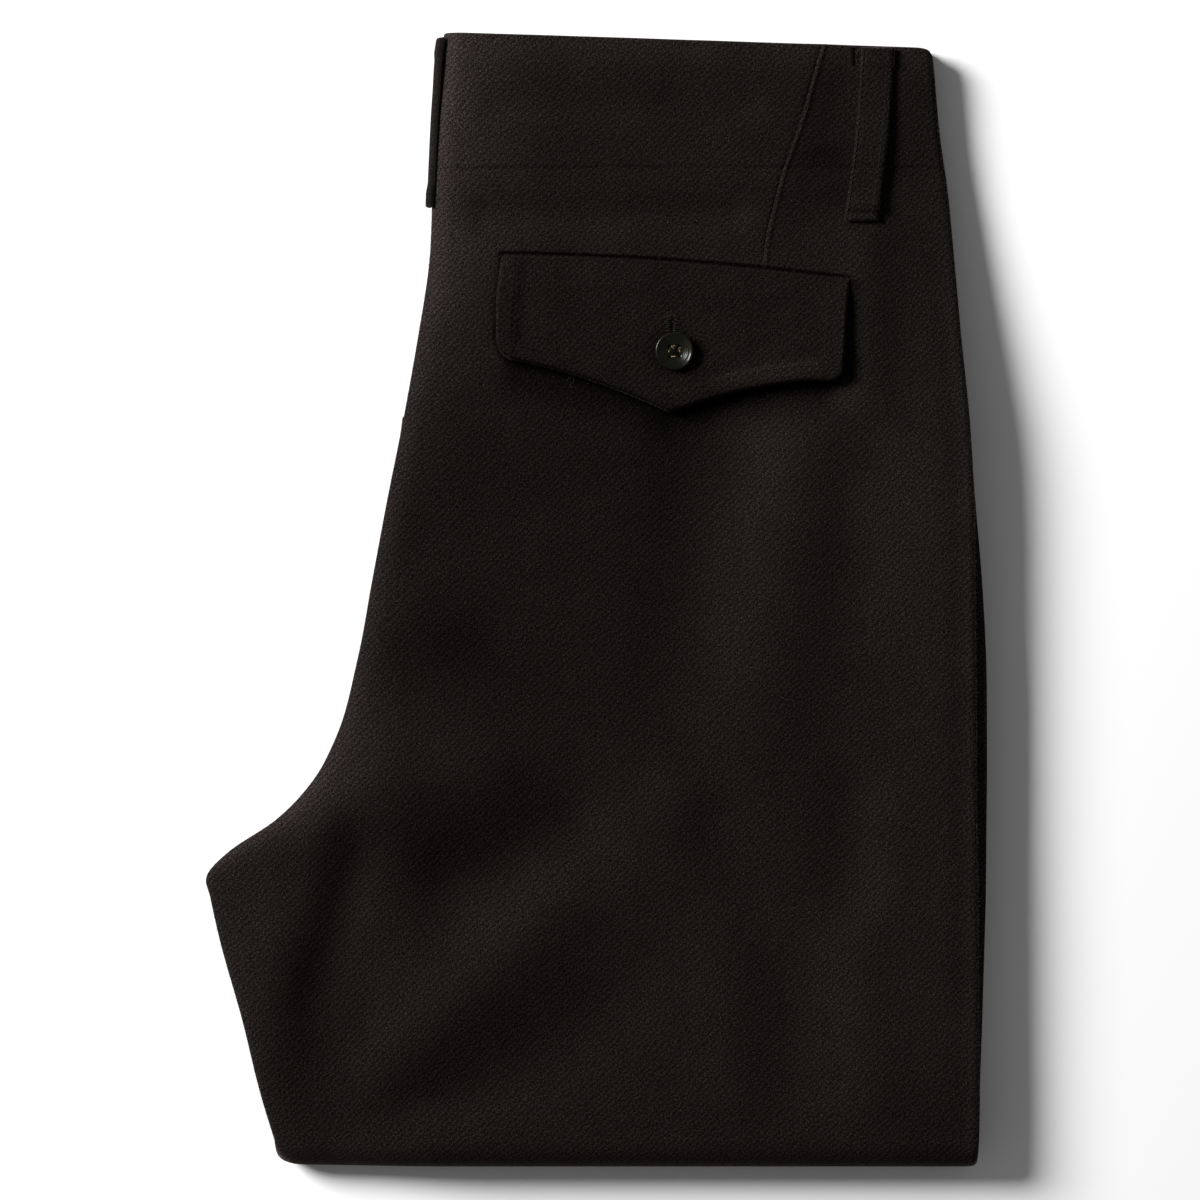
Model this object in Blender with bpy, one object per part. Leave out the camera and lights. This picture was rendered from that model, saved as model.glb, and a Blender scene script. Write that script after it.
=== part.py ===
"""Wool trousers, folded lengthwise at the centre back and then twice across the legs, lying flat.

X runs across the trousers, Y up to the waist and Z up from the surface they lie on. The right
back panel is a wall of cloth that starts at the waist, turns under at mid-thigh, runs back up
on the surface and turns in once more to the hem. The other three panels lie inside it as one
solid with layered edges.

Sizes are in millimetres, and MM turns them into metres.
"""

import math
from types import SimpleNamespace

import bmesh
import bpy
import numpy as np

MM = 0.001


def table(columns, rows):
    """A dictionary of named columns."""
    return {name: np.array(values, float) for name, values in zip(columns.split(), zip(*rows))}


# The cloth
WOOL_WALL = 1.6
WAIST_WALL = 2.4  # wool with its facing turned in behind it
FACING_EDGE = (176.3, 178.7)  # the facing's lower edge, a small step on the face
FACING_STEP = 0.5
SEAM_GAP = 0.3
WAIST_GAP = 0.5  # the edges part a little more in the last stretch before the waist
LEG_STACK = 6.8  # four layers, pressed
WAIST_STACK = 12.3  # four layers with facings and seams
STACK_GROWS = (120, 185)

# The fold path: waist, leg fold, under run, inner turn, hem run
WAIST_Y = 230.0
WAIST_SLOPE = -0.0335
WAIST_PIVOT_X = 38.0
SLOPE_STARTS_Y = 150.0
KNEE_Y = -222.3
TURN_Y = 68.8
TURN_RADIUS = 7.2
HEM_Y = -208.0
PACK_HEIGHT = 22.0
WAIST_HEIGHT = 12.5
HEIGHT_FALLS = (62, 190)
HEM_SINK, HEM_SINK_FROM, HEM_SINK_SPREAD = 6.3, 2.0, 60.0  # left of the hem run
UNDER_SINK, UNDER_SINK_FROM, UNDER_SINK_SPREAD = 5.0, 4.0, 40.0  # left of the under run
SINK_ENDS = (60, 20)
CORE_TOP = 15.05  # underside of the upper run, over the hem run
CORE_FALLS = (79, 113)  # past the inner turn the core comes down to the surface
CORE_SLACK = 0.15
CORE_INSET = 11.0

# Edge shapes
ROLL_WIDTH = 9.0  # the soft fold along the centre back
ROLL_SHARE = 0.6  # of the stack's depth, down to the centre back seam
ROLL_ENDS = (-118, -100)  # from the crotch point up
EDGE_WIDTH = 3.0  # pressed edges of the legs and the side seam
RIGHT_SHOULDER, RIGHT_REACH = 0.8, 14.0
KNEE_STRAIGHT = 0.85  # how far the fold's edge stays in line where the pack is lower
KNEE_CORNER, KNEE_CORNER_REACH = 2.5, 9.0  # its left corner is rounded
KNEE_SHIFT_FADES = 60.0
WAIST_CORNER = 4.0
WAIST_DROP, WAIST_DROP_REACH = 1.4, 14.0  # the face rounds down to the waist
SEAM_STEP = 0.45

KNEE_LENGTH = math.pi * PACK_HEIGHT / 2
UNDER_LENGTH = TURN_Y - KNEE_Y
TURN_LENGTH = math.pi * TURN_RADIUS
TURN_START = KNEE_LENGTH + UNDER_LENGTH
HEM_START = TURN_START + TURN_LENGTH
HEM_REACH = HEM_START + TURN_Y - HEM_Y

# drop is how far the face rounds down to the left edge, over drop_reach
OUTLINE = table("y left right second_leg drop drop_reach", [
    (-230, -129.6, 156.8, 0.0, 1.2, 16),
    (-205, -137.4, 157.3, 0.1, 1.2, 16),
    (-173, -145.6, 157.0, 1.5, 1.2, 16),
    (-140, -155.0, 156.7, 2.8, 1.2, 16),
    (-123, -158.8, 156.6, 3.4, 1.4, 18),
    (-114, -160.4, 156.5, 3.6, 1.7, 22),
    (-105, -152.5, 156.4, 3.8, 2.1, 28),
    (-91, -132.0, 156.2, 4.1, 2.5, 34),
    (-74, -116.0, 156.1, 4.4, 2.5, 36),
    (-58, -107.4, 156.0, 4.5, 2.1, 30),
    (-25, -98.0, 155.8, 4.4, 1.3, 18),
    (8, -91.8, 155.4, 3.0, 1.2, 15),
    (41, -85.6, 155.0, 0.6, 1.2, 16),
    (73, -79.2, 153.2, 0.0, 1.5, 24),
    (106, -73.4, 150.0, 0.0, 2.2, 36),
    (139, -68.6, 147.2, 0.0, 3.2, 46),
    (168, -67.4, 144.6, 0.0, 3.4, 48),
    (194, -66.0, 141.3, 0.0, 3.0, 48),
    (219, -63.5, 139.2, 0.0, 2.4, 46),
    (232, -62.5, 138.0, 0.0, 2.2, 44),
])

# The leg past the fold: reach is the distance along the cloth from the start of the fold
LOWER_LEG = table("reach left right", [
    (0, -132.2, 156.9),
    (35, -129.5, 155.8),
    (93, -118.0, 155.2),
    (175, -105.8, 154.5),
    (240, -96.6, 153.8),
    (274, -90.4, 153.3),
    (326, -80.6, 152.6),
    (349, -79.0, 152.3),
    (627, -60.0, 150.0),
])

DART = table("y x", [
    (-230, 70.0),
    (100, 68.0),
    (136, 68.9),
    (147, 70.1),
    (164, 74.0),
    (178, 77.9),
    (193, 83.4),
    (215, 89.7),
    (232, 94.6),
])
DART_STEP, DART_HALF, DART_FADE = 0.8, 0.8, 14.0
DART_ENDS = (128, 160)

# Folds and hollows of the upper face, each along a line from 0 to 1
FOLDS = table("x0 y0 x1 y1 height half_width", [
    (50, 64, 32, -36, -2.4, 24),
    (88, 70, 68, -50, 1.5, 20),
    (106, 50, 104, -10, -0.5, 12),
    (150, 90, 153, -150, 0.8, 22),
    (112, 148, 112, 84, 1.2, 11),
    (52, 74, 60, 66, -1.0, 13),
    (-76, -6, -66, -12, 1.4, 14),
    (-42, -30, -28, -38, -1.6, 20),
    (-58, -117, -11, -95, -3.0, 18),
    (-84, -76, -50, -72, 1.6, 18),
    (-97, -106, -117, -166, -1.4, 11),
    (-85, -192, -18, -130, 1.6, 15),
    (-70, -212, 5, -168, -2.2, 18),
    (55, -135, 57, -215, 0.8, 13),
    (80, -130, 80, -215, -0.6, 12),
    (111, -130, 112, -215, 0.8, 14),
    (104, -82, 104, -122, -1.2, 12),
    (50, -92, 62, -128, -0.9, 12),
    (34, -82, 34, -88, 0.9, 12),
    (-45, 158, 55, 158, -1.3, 8),
    (-40, 204, 60, 202, -0.9, 8),
    (-30, 90, 30, 76, -0.7, 9),
    (34, 76, 98, 86, -0.8, 9),
    (-128, -145, -108, -215, 1.2, 18),
])
FOLDS_START_Y = (KNEE_Y, KNEE_Y + 20)
CALM_LEFT, CALM_RIGHT = (2, 24), (2, 14)  # the folds die out towards the edges

UPPER_STATIONS = (
    226, 221, 210, 196, 184, 179, 176, 166, 153, 139, 125, 111, 97, 83, 68, 53, 38, 22, 6, -10,
    -26, -42, -58, -74, -84, -93, -101, -108, -114, -120, -130, -145, -160, -175, -190, -206,
)
KNEE_STEPS, UNDER_STEPS, TURN_STEPS, HEM_STEPS = 6, 6, 4, 5
ROLL_ANGLES = np.radians([0, 15, 32, 50, 70])
LEFT_COLUMNS, RIGHT_COLUMNS = 13, 7

# The back pocket flap, laid out from its top left corner
FLAP_CORNER = np.array([-38.7, 141.9])
FLAP_ACROSS = np.array([0.9975, -0.0705])
FLAP_DOWN = np.array([-0.0705, -0.9975])
FLAP_WIDTH = 143.0
FLAP_SIDE = 43.3
FLAP_POINT = 16.1
FLAP_POINT_AT = 73.4
FLAP_POINT_HALF = 50.0
FLAP_CORNER_RADIUS = 6.0
FLAP_THICK = 2.6
FLAP_SEAT = 0.45
FLAP_RISE = 1.3  # how far its lower edge stands off the panel
FLAP_EDGE = 0.9  # width of its rounded rim
FLAP_ROWS = 9

BUTTON_AT = np.array([32.0, 101.3])
BUTTON_RADIUS = 7.6
BUTTON_HOLE = 0.94
BUTTON_HOLE_AT = 1.65
BUTTON_TURN = math.radians(3)
BUTTON_PROFILE = table("radius height", [
    (5.4, 0.0),
    (6.9, 0.4),
    (7.5, 1.1),
    (7.6, 1.8),
    (7.3, 2.5),
    (6.7, 2.9),
    (6.0, 2.8),
    (5.3, 2.3),
    (4.3, 2.0),
])

SIDE_LOOP = table("y x", [
    (155.0, 108.6),
    (168.0, 110.5),
    (181.6, 112.3),
    (198.0, 114.0),
    (212.8, 115.0),
    (226.5, 115.9),
])
LOOP_THICK = 1.8
LOOP_SEAT = 0.4
LOOP_END = 8.0  # the turned-in ends are double
SIDE_LOOP_WIDTH = 13.8
SIDE_LOOP_ARCH = 1.9
BACK_LOOP_Y = (228.0, 161.0)
BACK_LOOP_ANGLES = np.radians([38, 22, 6, -10, -26])
BACK_LOOP_STAND = table("share near", [  # clearance along it, from its upper end
    (0.0, 1.2),
    (0.13, 2.4),
    (0.35, 1.2),
    (0.55, 0.5),
    (0.8, 0.35),
    (1.0, 0.35),
])

SLOT_HEIGHT, SLOT_DEPTH = 1.0, 14.0


def ramp(value, start, end):
    """Rises smoothly from 0 at start to 1 at end."""
    t = np.clip((np.asarray(value, float) - start) / (end - start), 0, 1)
    return t * t * (3 - 2 * t)


def blend(a, b, share):
    return a + (b - a) * share


def curve(columns, key, name, at):
    """A smooth curve through a table's rows, read at one value of its key column."""
    keys, values = columns[key], columns[name]
    slopes = np.gradient(values, keys)
    at = np.clip(at, keys[0], keys[-1])
    i = np.clip(np.searchsorted(keys, at) - 1, 0, len(keys) - 2)
    span = keys[i + 1] - keys[i]
    t = (at - keys[i]) / span
    ends = (1 + 2 * t) * (1 - t) ** 2 * values[i] + t * t * (3 - 2 * t) * values[i + 1]
    return ends + span * t * (1 - t) * ((1 - t) * slopes[i] - t * slopes[i + 1])


def sloped(y, x):
    """The waist's edge is cut a little higher at the centre back than at the side."""
    return y + WAIST_SLOPE * (x - WAIST_PIVOT_X) * ramp(y, SLOPE_STARTS_Y, WAIST_Y)


def pack_height(x, y):
    """Height of the upper face over the surface: it steps down to the waist, and on the left
    where the folded leg no longer lies below it."""
    hem_left = curve(LOWER_LEG, "reach", "left", HEM_START + TURN_Y - y)
    under_left = curve(LOWER_LEG, "reach", "left", KNEE_LENGTH + y - KNEE_Y)
    past_hem = ramp(hem_left - HEM_SINK_FROM - x, 0, HEM_SINK_SPREAD)
    past_under = ramp(under_left - UNDER_SINK_FROM - x, 0, UNDER_SINK_SPREAD)
    sink = HEM_SINK * past_hem + UNDER_SINK * past_under
    base = blend(PACK_HEIGHT, WAIST_HEIGHT, ramp(y, *HEIGHT_FALLS))
    return base - sink * ramp(y, *SINK_ENDS)


def knee_shift(x, y, left):
    """How far the cloth lies beyond its plain path near the leg fold."""
    sunk = (PACK_HEIGHT - pack_height(x, KNEE_Y)) / 2
    corner = np.clip(1 - (x - left) / KNEE_CORNER_REACH, 0, 1)
    shift = KNEE_STRAIGHT * sunk - KNEE_CORNER * corner ** 2
    return shift * ramp(y, KNEE_Y + KNEE_SHIFT_FADES, KNEE_Y)


def folds(x, y):
    """Soft hollows and ridges, each a bell-shaped band along its line."""
    height = np.zeros(np.broadcast(x, y).shape)
    for x0, y0, x1, y1, rise, half_width in zip(*FOLDS.values()):
        along = ((x - x0) * (x1 - x0) + (y - y0) * (y1 - y0)) / ((x1 - x0) ** 2 + (y1 - y0) ** 2)
        along = np.clip(along, 0, 1)
        square = (x - blend(x0, x1, along)) ** 2 + (y - blend(y0, y1, along)) ** 2
        height = height + rise * np.exp(-square / half_width ** 2)
    return height * ramp(y, *FOLDS_START_Y)


def dart_step(x, y):
    """The cloth right of the dart stands a little proud of the cloth left of it."""
    past = x - curve(DART, "y", "x", y)
    rise = ramp(past, -DART_HALF, DART_HALF) * (1 - ramp(past, DART_HALF, DART_FADE))
    return DART_STEP * rise * ramp(y, *DART_ENDS)


def shoulders(x, s):
    """The face rounds down towards both edges."""
    from_left = np.clip(1 - (x - s.left) / s.drop_reach, 0, 1)
    from_right = np.clip(1 - (s.right - x) / RIGHT_REACH, 0, 1)
    return -s.drop * from_left ** 2 - RIGHT_SHOULDER * from_right ** 2


def waist_drop(x, y):
    """The face rounds down towards the waist too."""
    to_waist = WAIST_Y + WAIST_SLOPE * (x - WAIST_PIVOT_X) - y
    return -WAIST_DROP * np.clip(1 - to_waist / WAIST_DROP_REACH, 0, 1) ** 2


def surface_lift(x, y, s):
    calm = ramp(x - s.left, *CALM_LEFT) * ramp(s.right - x, *CALM_RIGHT)
    relief = calm * (folds(x, y) + dart_step(x, y)) + FACING_STEP * ramp(y, *FACING_EDGE)
    return relief + shoulders(x, s) + waist_drop(x, y)


def panel_top(x, y):
    """Height of the upper face at one place, away from its edges."""
    names = ("left", "right", "drop", "drop_reach")
    s = SimpleNamespace(**{name: curve(OUTLINE, "y", name, y) for name in names})
    return pack_height(x, y) + surface_lift(x, y, s)


def station(reach):
    """The cross-section's sizes at one reach along the cloth; reach is below zero on top."""
    y = KNEE_Y - min(reach, 0)
    if reach <= 0:
        left, right, second = (curve(OUTLINE, "y", c, y) for c in ("left", "right", "second_leg"))
        corner = max(y - (WAIST_Y - WAIST_CORNER), 0)
        right = right - WAIST_CORNER + math.sqrt(WAIST_CORNER ** 2 - corner ** 2)
    else:
        left, right = (curve(LOWER_LEG, "reach", c, reach) for c in ("left", "right"))
        second = 0
    drop, drop_reach = (float(curve(OUTLINE, "y", c, y)) for c in ("drop", "drop_reach"))
    body = float(ramp(y, *ROLL_ENDS))
    stack = float(blend(LEG_STACK, WAIST_STACK, ramp(y, *STACK_GROWS)))
    wall = float(blend(WOOL_WALL, WAIST_WALL, ramp(y, *FACING_EDGE)))
    cover = wall + SEAM_GAP + WAIST_GAP * float(ramp(y, WAIST_Y - 12, WAIST_Y))
    return SimpleNamespace(
        reach=reach, y=y, left=float(left), right=float(right), second=float(second),
        drop=drop, drop_reach=drop_reach, body=body, stack=stack, wall=wall, cover=cover,
        roll_width=blend(EDGE_WIDTH, ROLL_WIDTH, body),
        roll_depth=blend(wall, ROLL_SHARE * stack, body),
    )


def place(s, x, depth):
    """Points of a cross-section in space. depth is measured inwards from the outer face."""
    x, depth = np.asarray(x, float), np.asarray(depth, float)
    fade = 1 - np.clip((depth - s.cover) / (s.stack - s.cover), 0, 1)
    if s.reach <= 0:
        y = sloped(s.y, x)
        z = pack_height(x, y) - depth + fade * surface_lift(x, y, s)
        y = y - knee_shift(x, y, s.left)
    elif s.reach < KNEE_LENGTH:
        angle = math.pi * (0.5 - s.reach / KNEE_LENGTH)
        middle = pack_height(x, KNEE_Y) / 2
        easing = (1 + math.sin(angle)) / 2
        radius = middle - depth + fade * easing * shoulders(x, s)
        y = KNEE_Y - radius * math.cos(angle) - knee_shift(x, KNEE_Y, s.left)
        z = middle + radius * math.sin(angle)
    elif s.reach <= TURN_START:
        y = KNEE_Y + s.reach - KNEE_LENGTH
        y = y - knee_shift(x, y, s.left)
        z = depth
    elif s.reach < HEM_START:
        angle = math.pi * ((s.reach - TURN_START) / TURN_LENGTH - 0.5)
        y = TURN_Y + (TURN_RADIUS - depth) * math.cos(angle)
        z = TURN_RADIUS + (TURN_RADIUS - depth) * math.sin(angle)
    else:
        y = np.full(x.shape, TURN_Y - (s.reach - HEM_START))
        z = 2 * TURN_RADIUS - depth
    return np.column_stack([x, y, z])


def stations():
    """Reaches of the cross-sections, waist to hem."""
    upper = [KNEE_Y - y for y in UPPER_STATIONS]
    knee = np.linspace(0, KNEE_LENGTH, KNEE_STEPS + 1)
    under = np.linspace(KNEE_LENGTH, TURN_START, UNDER_STEPS + 1)[1:]
    turn = np.linspace(TURN_START, HEM_START, TURN_STEPS + 1)[1:]
    hem = np.linspace(HEM_START, HEM_REACH, HEM_STEPS + 1)[1:]
    return [float(reach) for reach in (*upper, *knee, *under, *turn, *hem)]


def columns_across(s):
    """Places across the flat of the cloth, with a close pair along the dart."""
    dart = curve(DART, "y", "x", s.y)
    return np.concatenate([
        np.linspace(s.left + s.roll_width, dart - DART_HALF, LEFT_COLUMNS),
        np.linspace(dart + DART_HALF, s.right - EDGE_WIDTH, RIGHT_COLUMNS),
    ])


def panel_faces(s, keep=1.0):
    """Outer and inner points of the right back panel; keep below 1 thins it to its middle."""
    across = columns_across(s)
    out_x = s.left + s.roll_width * (1 - np.cos(ROLL_ANGLES))
    out_depth = s.roll_depth * (1 - np.sin(ROLL_ANGLES))
    in_x = s.left + s.roll_width - (s.roll_width - s.wall) * np.cos(ROLL_ANGLES)
    in_depth = s.roll_depth - (s.roll_depth - s.wall) * np.sin(ROLL_ANGLES)
    turn = np.radians([30, 60, 90])
    edge = s.right - EDGE_WIDTH
    outer = np.column_stack([
        np.concatenate([out_x, across, edge + EDGE_WIDTH * np.sin(turn)]),
        np.concatenate([out_depth, 0 * across, s.wall * (1 - np.cos(turn))]),
    ])
    inner = np.column_stack([
        np.concatenate([in_x, across, edge + (EDGE_WIDTH - s.wall) * np.sin(turn)]),
        np.concatenate([in_depth, 0 * across + s.wall, 0 * turn + s.wall]),
    ])
    middle = (outer + inner) / 2
    return middle + keep * (outer - middle), middle + keep * (inner - middle)


def panel_ring(s, keep=1.0):
    outer, inner = panel_faces(s, keep)
    section = np.vstack([outer, inner[::-1]])
    return place(s, section[:, 0], section[:, 1])


def side_of_layers(edge, sign, s, reach_out):
    """One layered edge, top to bottom: the near leg's folded layer, a groove, the far leg."""
    near = np.radians([0, 45, 90])
    far = np.radians([35, 90, 145, 180])
    half = s.stack / 2
    base = edge - sign * EDGE_WIDTH
    x = np.concatenate([
        base + sign * EDGE_WIDTH * np.cos(near),
        base + sign * (EDGE_WIDTH + reach_out) * np.sin(far),
    ])
    depth = np.concatenate([
        s.cover + (half - s.cover) * np.sin(near),
        1.5 * half - half / 2 * np.cos(far),
    ])
    return np.column_stack([x, depth])


def layers_ring(s):
    """The three inner layers in one closed section: it keeps off the right back panel by the
    seam gap, has grooves between the legs at its edges, and a core below that reaches the
    surface near the waist."""
    across = columns_across(s)
    offset = s.cover - s.wall
    angles = ROLL_ANGLES[1:]
    width = s.roll_width - s.cover
    depth = s.roll_depth - s.cover
    roll = np.column_stack([
        s.left + s.roll_width - width * np.cos(angles),
        np.maximum(s.roll_depth - depth * np.sin(angles), s.cover),
    ])
    seam = s.roll_depth + blend(offset, SEAM_STEP, s.body)
    start = np.array([[s.left, seam], [s.left + s.cover, seam]])
    top = np.column_stack([across, 0 * across + s.cover])
    right = side_of_layers(s.right, 1, s, s.second)
    around = np.radians([0, 12, 25, 40, 58, 75, 90])
    body_left = np.column_stack([
        s.left + s.roll_width * (1 - np.cos(around)),
        seam + (s.stack - seam) * np.sin(around),
    ])
    left = blend(side_of_layers(s.left, -1, s, 0.0), body_left, s.body)
    core = core_points(s, left[-1, 0], right[-1, 0], across)
    section = np.vstack([start, roll, top, right, core, left[:0:-1]])
    return place(s, section[:, 0], section[:, 1])


def core_points(s, left, right, across):
    """The underside of the layers, right to left. It is rounded where it stands on the surface."""
    rise = np.radians([40, 90])
    inset = CORE_INSET * (1 - np.cos(rise))
    flat = np.concatenate([across[:LEFT_COLUMNS], across[LEFT_COLUMNS + 2:]])[::-1]
    clear = CORE_INSET + 2
    flat = np.clip(flat, left + clear, right - clear)
    x = np.concatenate([right - inset, flat, left + inset[::-1]])
    share = np.concatenate([np.sin(rise), 0 * flat + 1, np.sin(rise[::-1])])
    deepest = s.stack + CORE_SLACK
    if s.reach <= 0:
        y = sloped(s.y, x)
        inside = CORE_TOP * (1 - ramp(y, *CORE_FALLS))
        deepest = np.maximum(pack_height(x, y) - inside, deepest)
    return np.column_stack([x, s.stack + (deepest - s.stack) * share])


def shaded(mesh, angle):
    mesh.shade_smooth()
    mesh.set_sharp_from_angle(angle=math.radians(angle))


def new_object(name, points, faces, material, angle=50):
    mesh = bpy.data.meshes.new(name)
    mesh.from_pydata((np.asarray(points) * MM).tolist(), [], faces)
    work = bmesh.new()
    work.from_mesh(mesh)
    bmesh.ops.recalc_face_normals(work, faces=work.faces)
    work.to_mesh(mesh)
    work.free()
    shaded(mesh, angle)
    obj = bpy.data.objects.new(name, mesh)
    bpy.context.scene.collection.objects.link(obj)
    if material:
        mesh.materials.append(material)
    return obj


def loft(rings, is_wall):
    """Points and faces of a closed skin over rings of equal length. The quads split the same
    way on both faces of a wall, so that whatever lies next to it keeps its gap."""
    count = len(rings[0])
    faces = []
    for row in range(len(rings) - 1):
        near, far = row * count, (row + 1) * count
        for i in range(count):
            j = (i + 1) % count
            if is_wall and i >= count // 2:  # the inner face, whose points run the other way
                faces += [(near + i, near + j, far + i), (near + j, far + j, far + i)]
            else:
                faces += [(near + i, near + j, far + j), (near + i, far + j, far + i)]
    for base in (0, (len(rings) - 1) * count):
        if is_wall:
            for i in range(count // 2 - 1):
                far = count - 1 - i
                faces.append((base + i, base + i + 1, base + far - 1, base + far))
        else:
            faces.append(tuple(base + i for i in range(count)))
    return np.vstack(rings), faces


def material(name, color, roughness, sheen=0.0, coat=0.0):
    made = bpy.data.materials.new(name)
    made.use_nodes = True
    shader = made.node_tree.nodes["Principled BSDF"]
    shader.inputs["Base Color"].default_value = (*color, 1)
    shader.inputs["Roughness"].default_value = roughness
    shader.inputs["Metallic"].default_value = 0
    shader.inputs["Sheen Weight"].default_value = sheen
    shader.inputs["Coat Weight"].default_value = coat
    return made


def wool(name, color=(0.0085, 0.0068, 0.0062)):
    return material(name, color, 0.9, sheen=0.3)


def back_right():
    """The right back panel, one wall from waist to hem, thinned to soft edges at both ends."""
    inner = [panel_ring(station(reach)) for reach in stations()[:-1]]
    waist = [(WAIST_Y, 0.45), (WAIST_Y - 0.5, 0.8), (WAIST_Y - 1.4, 1.0)]
    start = [panel_ring(station(KNEE_Y - y), keep) for y, keep in waist]
    end = [panel_ring(station(HEM_REACH - 0.8)), panel_ring(station(HEM_REACH), 0.5)]
    points, faces = loft(start + inner + end, is_wall=True)
    return new_object("back_right", points, faces, wool("wool_back_right"))


def layer_slot(name, height, left, right):
    """A cutter that parts two layers at the waist end."""
    x = np.array([left, right])
    y = WAIST_Y + WAIST_SLOPE * (x - WAIST_PIVOT_X)
    points = [
        (x[i], y[i] + dy, height + dz)
        for dz in (-SLOT_HEIGHT / 2, SLOT_HEIGHT / 2)
        for i, dy in ((0, -SLOT_DEPTH), (1, -SLOT_DEPTH), (1, 3.0), (0, 3.0))
    ]
    faces = [(0, 1, 2, 3), (4, 5, 6, 7), (0, 1, 5, 4), (1, 2, 6, 5), (2, 3, 7, 6), (3, 0, 4, 7)]
    cutter = new_object(name, points, faces, None)
    cutter.hide_render = True
    cutter.display_type = "WIRE"
    return cutter


def folded_layers():
    """Right front, left front and left back in one solid, parted at the waist by two slots."""
    rings = [layers_ring(station(reach)) for reach in stations()]
    waist = [layers_ring(station(KNEE_Y - WAIST_Y + 0.6)), layers_ring(station(KNEE_Y - 228.4))]
    points, faces = loft(waist + rings, is_wall=False)
    layers = new_object("folded_layers", points, faces, wool("wool_layers"))
    s = station(KNEE_Y - WAIST_Y)
    half = WAIST_HEIGHT - (WAIST_STACK + WAIST_DROP) / 2
    cuts = [
        layer_slot("slot_fronts", half, s.left + 14, s.right + 5),
        layer_slot("slot_left_leg", half - WAIST_STACK / 4, s.left - 5, s.right - 8),
    ]
    for cutter in cuts:
        cut = layers.modifiers.new(cutter.name, "BOOLEAN")
        cut.operation = "DIFFERENCE"
        cut.solver = "EXACT"
        cut.object = cutter
    return layers


def flap_depth(across):
    """Length of the flap below its top edge: straight sides, a soft point, round corners."""
    reach = np.clip(1 - np.abs(across - FLAP_POINT_AT) / FLAP_POINT_HALF, 0, 1)
    to_side = np.minimum(across, FLAP_WIDTH - across)
    inside = np.clip(FLAP_CORNER_RADIUS - to_side, 0, FLAP_CORNER_RADIUS)
    round_off = FLAP_CORNER_RADIUS - np.sqrt(FLAP_CORNER_RADIUS ** 2 - inside ** 2)
    return FLAP_SIDE + FLAP_POINT * reach ** 1.4 - round_off


def flap_stand(down):
    """Clearance under the flap, from its sewn top edge down."""
    return FLAP_SEAT + FLAP_RISE * ramp(down, 0.1, 1.0)


def flap_points(inset, share):
    """A grid over the flap, this far in from its outline, at a share of its thickness."""
    sides = [0, 1.5, 3.5, 6]
    across = np.concatenate([
        sides, np.linspace(14, 62, 7), [68, FLAP_POINT_AT, 79], np.linspace(85, 133, 7),
        FLAP_WIDTH - np.array(sides[::-1]),
    ])
    across = np.clip(across, 0, FLAP_WIDTH)
    squeezed = inset + across * (FLAP_WIDTH - 2 * inset) / FLAP_WIDTH
    down = np.linspace(0, 1, FLAP_ROWS)[:, None]
    length = flap_depth(squeezed)
    drop = inset + down * (length - 2 * inset)
    x = FLAP_CORNER[0] + squeezed * FLAP_ACROSS[0] + drop * FLAP_DOWN[0]
    y = FLAP_CORNER[1] + squeezed * FLAP_ACROSS[1] + drop * FLAP_DOWN[1]
    thick = FLAP_THICK * (0.8 + 0.2 * ramp(down, 0, 0.3))
    return np.dstack([x, y, panel_top(x, y) + flap_stand(down) + share * thick])


def grid_rim(rows, cols):
    """Indices round the border of a grid, in order."""
    top = [(0, c) for c in range(cols)]
    right = [(r, cols - 1) for r in range(1, rows)]
    bottom = [(rows - 1, c) for c in range(cols - 2, -1, -1)]
    left = [(r, 0) for r in range(rows - 2, 0, -1)]
    return [r * cols + c for r, c in top + right + bottom + left]


def pocket_flap():
    """The pointed flap: upper and lower face, and a rim between them that stands out a little."""
    upper, lower = flap_points(FLAP_EDGE, 1.0), flap_points(FLAP_EDGE, 0.0)
    rows, cols = upper.shape[:2]
    rim = grid_rim(rows, cols)
    middle = flap_points(0.0, 0.45).reshape(-1, 3)[rim]
    size = rows * cols
    faces = []
    for r in range(rows - 1):
        for c in range(cols - 1):
            i = r * cols + c
            faces.append((i, i + 1, i + cols + 1, i + cols))
            faces.append((size + i, size + i + cols, size + i + cols + 1, size + i + 1))
    for k, here in enumerate(rim):
        after = rim[(k + 1) % len(rim)]
        near, far = 2 * size + k, 2 * size + (k + 1) % len(rim)
        faces.append((here, near, far, after))
        faces.append((near, size + here, size + after, far))
    points = np.vstack([upper.reshape(-1, 3), lower.reshape(-1, 3), middle])
    return new_object("pocket_flap", points, faces, wool("wool_flap"), angle=70)


def flap_top(x, y):
    """Height of the flap's upper face."""
    from_corner = np.array([x, y]) - FLAP_CORNER
    share = from_corner @ FLAP_DOWN / flap_depth(from_corner @ FLAP_ACROSS)
    return panel_top(x, y) + flap_stand(share) + FLAP_THICK


def turned(radii, heights, centre, segments):
    """A closed solid of revolution about an upright axis."""
    turn = np.arange(segments) * 2 * math.pi / segments
    rings = [
        np.column_stack([
            centre[0] + r * np.cos(turn),
            centre[1] + r * np.sin(turn),
            np.full(segments, centre[2] + h),
        ])
        for r, h in zip(radii, heights)
    ]
    return loft(rings, is_wall=False)


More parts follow.
